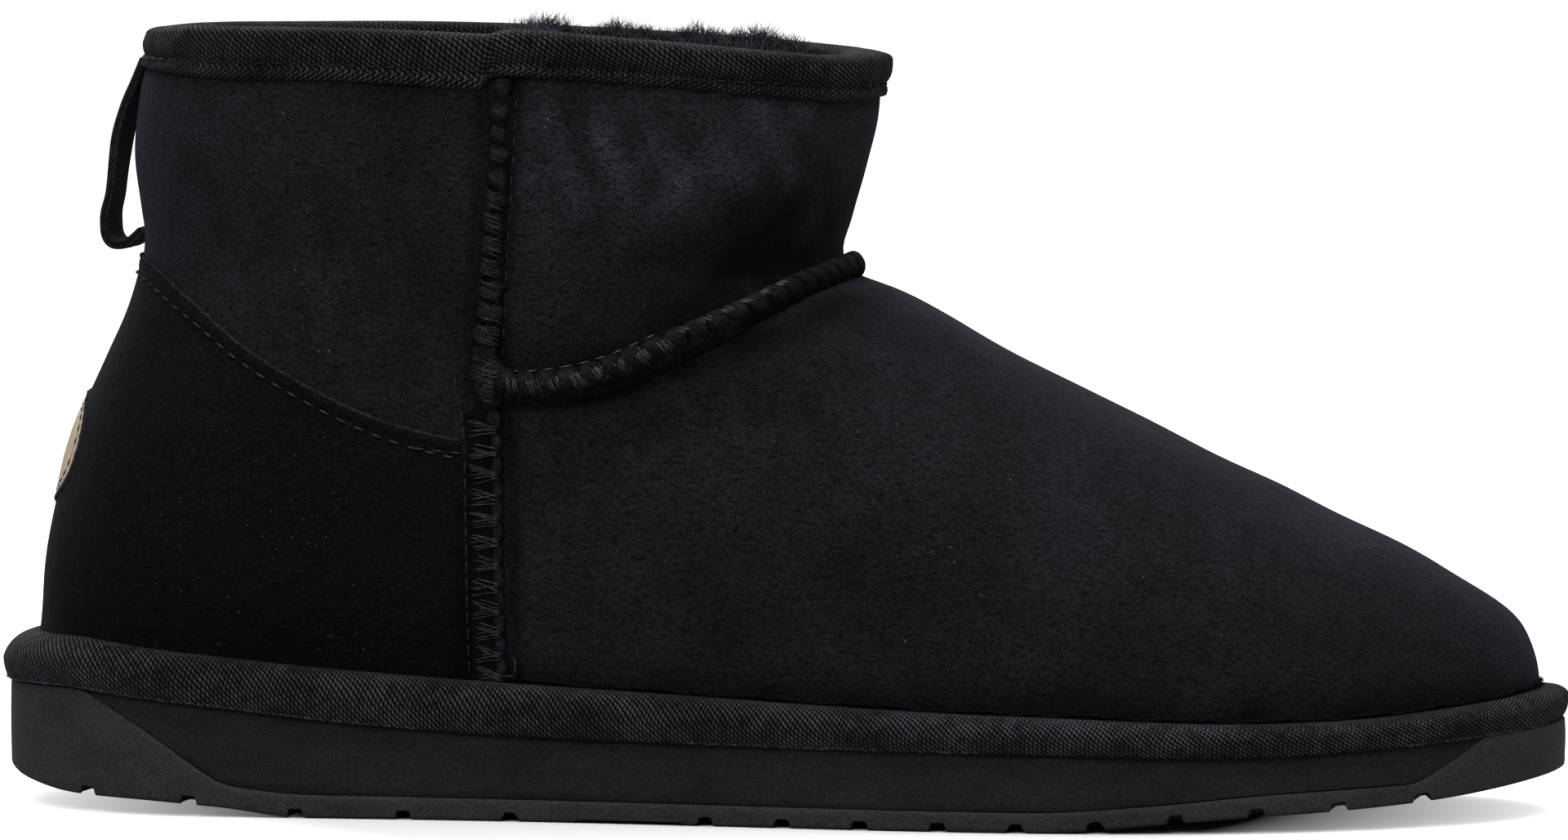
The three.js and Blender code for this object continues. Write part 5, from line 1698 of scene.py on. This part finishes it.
def build_stage():
    """The camera, a wide pale floor that glows for the camera away from the boot, an even white world and
    four soft lights.
    """
    scene = bpy.context.scene
    azimuth, away, eye = math.radians(8), 2.0, 0.1859
    data = bpy.data.cameras.new("camera")
    camera = bpy.data.objects.new("camera", data)
    scene.collection.objects.link(camera)
    data.sensor_width = 36
    data.lens = 263.0
    data.clip_end = 200
    camera.location = (away * math.sin(azimuth), -away * math.cos(azimuth), eye)
    aim(camera, (0.0, 0.0, 0.0676))
    scene.camera = camera

    angle = np.arange(64) / 64 * TURN
    rings = [np.column_stack([np.cos(angle) * r, np.sin(angle) * r, 0 * angle])
             for r in (40000.0, 600.0, 1.0)]
    points = np.concatenate(rings + [np.zeros((1, 3))])
    points[:, 2] -= 0.02
    a = np.arange(64)
    fan = np.stack([np.full(64, 192), 128 + a, 128 + (a + 1) % 64], -1)
    p = Paint("pale floor", Specular_IOR_Level=0.0, Emission_Color=(1, 1, 1, 1))
    # Painted brightness: the camera sees the floor paler than the light it sends onto the boot.
    seen = p.node("ShaderNodeLightPath").outputs["Is Camera Ray"]
    p.done(p.mix(seen, (0.36, 0.36, 0.36, 1), (0.95, 0.95, 0.95, 1)), 0.9,
           p.bump(p.noise(200, 2, 0.5), 0.00005, 0.2))
    # Painted glow for camera rays only, from none near the boot to full beyond 0.15 m.
    away_from_boot = p.node("ShaderNodeVectorMath", {0: p.where}, operation="LENGTH").outputs["Value"]
    p.set(p.shader.inputs["Emission Strength"],
          p.math("MULTIPLY", p.span(away_from_boot, 0.085, 0.15, 0.0, 1.0), seen))
    floor = new_piece("floor", points, [lattice(3, 64, wrap_cols=True), fan], p.material)

    world = bpy.data.worlds.new("white surround")
    scene.world = world
    world.use_nodes = True
    nodes, links = world.node_tree.nodes, world.node_tree.links
    nodes.clear()
    path = nodes.new("ShaderNodeLightPath")
    seen = nodes.new("ShaderNodeMapRange")
    seen.inputs[3].default_value = 0.16
    seen.inputs[4].default_value = 1.05
    shell = nodes.new("ShaderNodeBackground")
    output = nodes.new("ShaderNodeOutputWorld")
    links.new(path.outputs["Is Camera Ray"], seen.inputs[0])
    links.new(seen.outputs[0], shell.inputs["Strength"])
    links.new(shell.outputs[0], output.inputs["Surface"])

    soft_light("top softbox", (0.15, -0.25, 1.6), (0, 0, 0.05), 2.0, 1.6, 26)
    soft_light("front softbox", (-0.35, -1.7, 1.25), (0, 0, 0.06), 1.4, 0.9, 20)
    soft_light("toe softbox", (1.5, -0.6, 0.8), (0.05, 0, 0.05), 0.9, 0.9, 3.5)
    soft_light("back softbox", (-0.7, 1.5, 1.0), (0, 0, 0.08), 1.4, 0.9, 12)
    scene.view_settings.view_transform = "Standard"
    scene.view_settings.look = "None"
    scene.view_settings.exposure = 0
    scene.view_settings.gamma = 1


# ---------------------------------------------------------------------------------------------------
# Operators, panel and registration


class BOOT_OT_stage(bpy.types.Operator):
    """Add the floor, the lights and the camera"""

    bl_idname = "boot.stage"
    bl_label = "Stage"

    def execute(self, context):
        build_stage()
        return {"FINISHED"}


class BOOT_OT_sole(bpy.types.Operator):
    """Build the grooved rubber outsole and the foam midsole"""

    bl_idname = "boot.sole"
    bl_label = "Outsole and midsole"

    def execute(self, context):
        build_outsole()
        build_midsole()
        return {"FINISHED"}


class BOOT_OT_rand(bpy.types.Operator):
    """Build the tape-covered rand round the foot of the upper"""

    bl_idname = "boot.rand"
    bl_label = "Rand"

    def execute(self, context):
        build_rand()
        build_foot_seam()
        return {"FINISHED"}


class BOOT_OT_upper(bpy.types.Operator):
    """Build the suede skin of the upper"""

    bl_idname = "boot.upper"
    bl_label = "Upper"

    def execute(self, context):
        build_upper()
        return {"FINISHED"}


class BOOT_OT_fleece(bpy.types.Operator):
    """Build the fleece lining, the fleece insole and the curls at the collar"""

    bl_idname = "boot.fleece"
    bl_label = "Fleece"

    def execute(self, context):
        build_fleece()
        build_tufts()
        return {"FINISHED"}


class BOOT_OT_heel(bpy.types.Operator):
    """Build the heel counter and its bare leather label"""

    bl_idname = "boot.heel"
    bl_label = "Heel counter and label"

    def execute(self, context):
        build_counter()
        build_label()
        return {"FINISHED"}


class BOOT_OT_collar(bpy.types.Operator):
    """Build the collar tape and the pull loop"""

    bl_idname = "boot.collar"
    bl_label = "Collar tape and pull loop"

    def execute(self, context):
        build_collar()
        build_loop()
        return {"FINISHED"}


class BOOT_OT_seams(bpy.types.Operator):
    """Build the side seams, the vamp seam and every row of stitches"""

    bl_idname = "boot.seams"
    bl_label = "Seams and stitches"

    def execute(self, context):
        build_side_seams()
        build_vamp_seam()
        build_stitches()
        return {"FINISHED"}


class BOOT_PT_parts(bpy.types.Panel):
    """Sizes, colours and the operators that build the boot"""

    bl_idname = "BOOT_PT_parts"
    bl_label = "Sheepskin ankle boot"
    bl_space_type = "VIEW_3D"
    bl_region_type = "UI"
    bl_category = "Boot"

    def draw(self, context):
        layout = self.layout
        for group in (context.scene.boot_sizes, context.scene.boot_colours):
            column = layout.column()
            for key in group.bl_rna.properties.keys():
                if key not in {"rna_type", "name"}:
                    column.prop(group, key)
        for operator in OPERATORS:
            layout.operator(operator.bl_idname)


OPERATORS = (BOOT_OT_stage, BOOT_OT_sole, BOOT_OT_rand, BOOT_OT_upper, BOOT_OT_fleece, BOOT_OT_heel,
             BOOT_OT_collar, BOOT_OT_seams)
CLASSES = (BootSizes, BootColours, *OPERATORS, BOOT_PT_parts)


def register():
    for cls in CLASSES:
        bpy.utils.register_class(cls)
    bpy.types.Scene.boot_sizes = bpy.props.PointerProperty(type=BootSizes)
    bpy.types.Scene.boot_colours = bpy.props.PointerProperty(type=BootColours)


def unregister():
    del bpy.types.Scene.boot_colours
    del bpy.types.Scene.boot_sizes
    for cls in reversed(CLASSES):
        bpy.utils.unregister_class(cls)


def main():
    """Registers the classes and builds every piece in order."""
    register()
    bpy.ops.boot.stage()
    bpy.ops.boot.sole()
    bpy.ops.boot.rand()
    bpy.ops.boot.upper()
    bpy.ops.boot.fleece()
    bpy.ops.boot.heel()
    bpy.ops.boot.collar()
    bpy.ops.boot.seams()


if __name__ == "__main__":
    main()
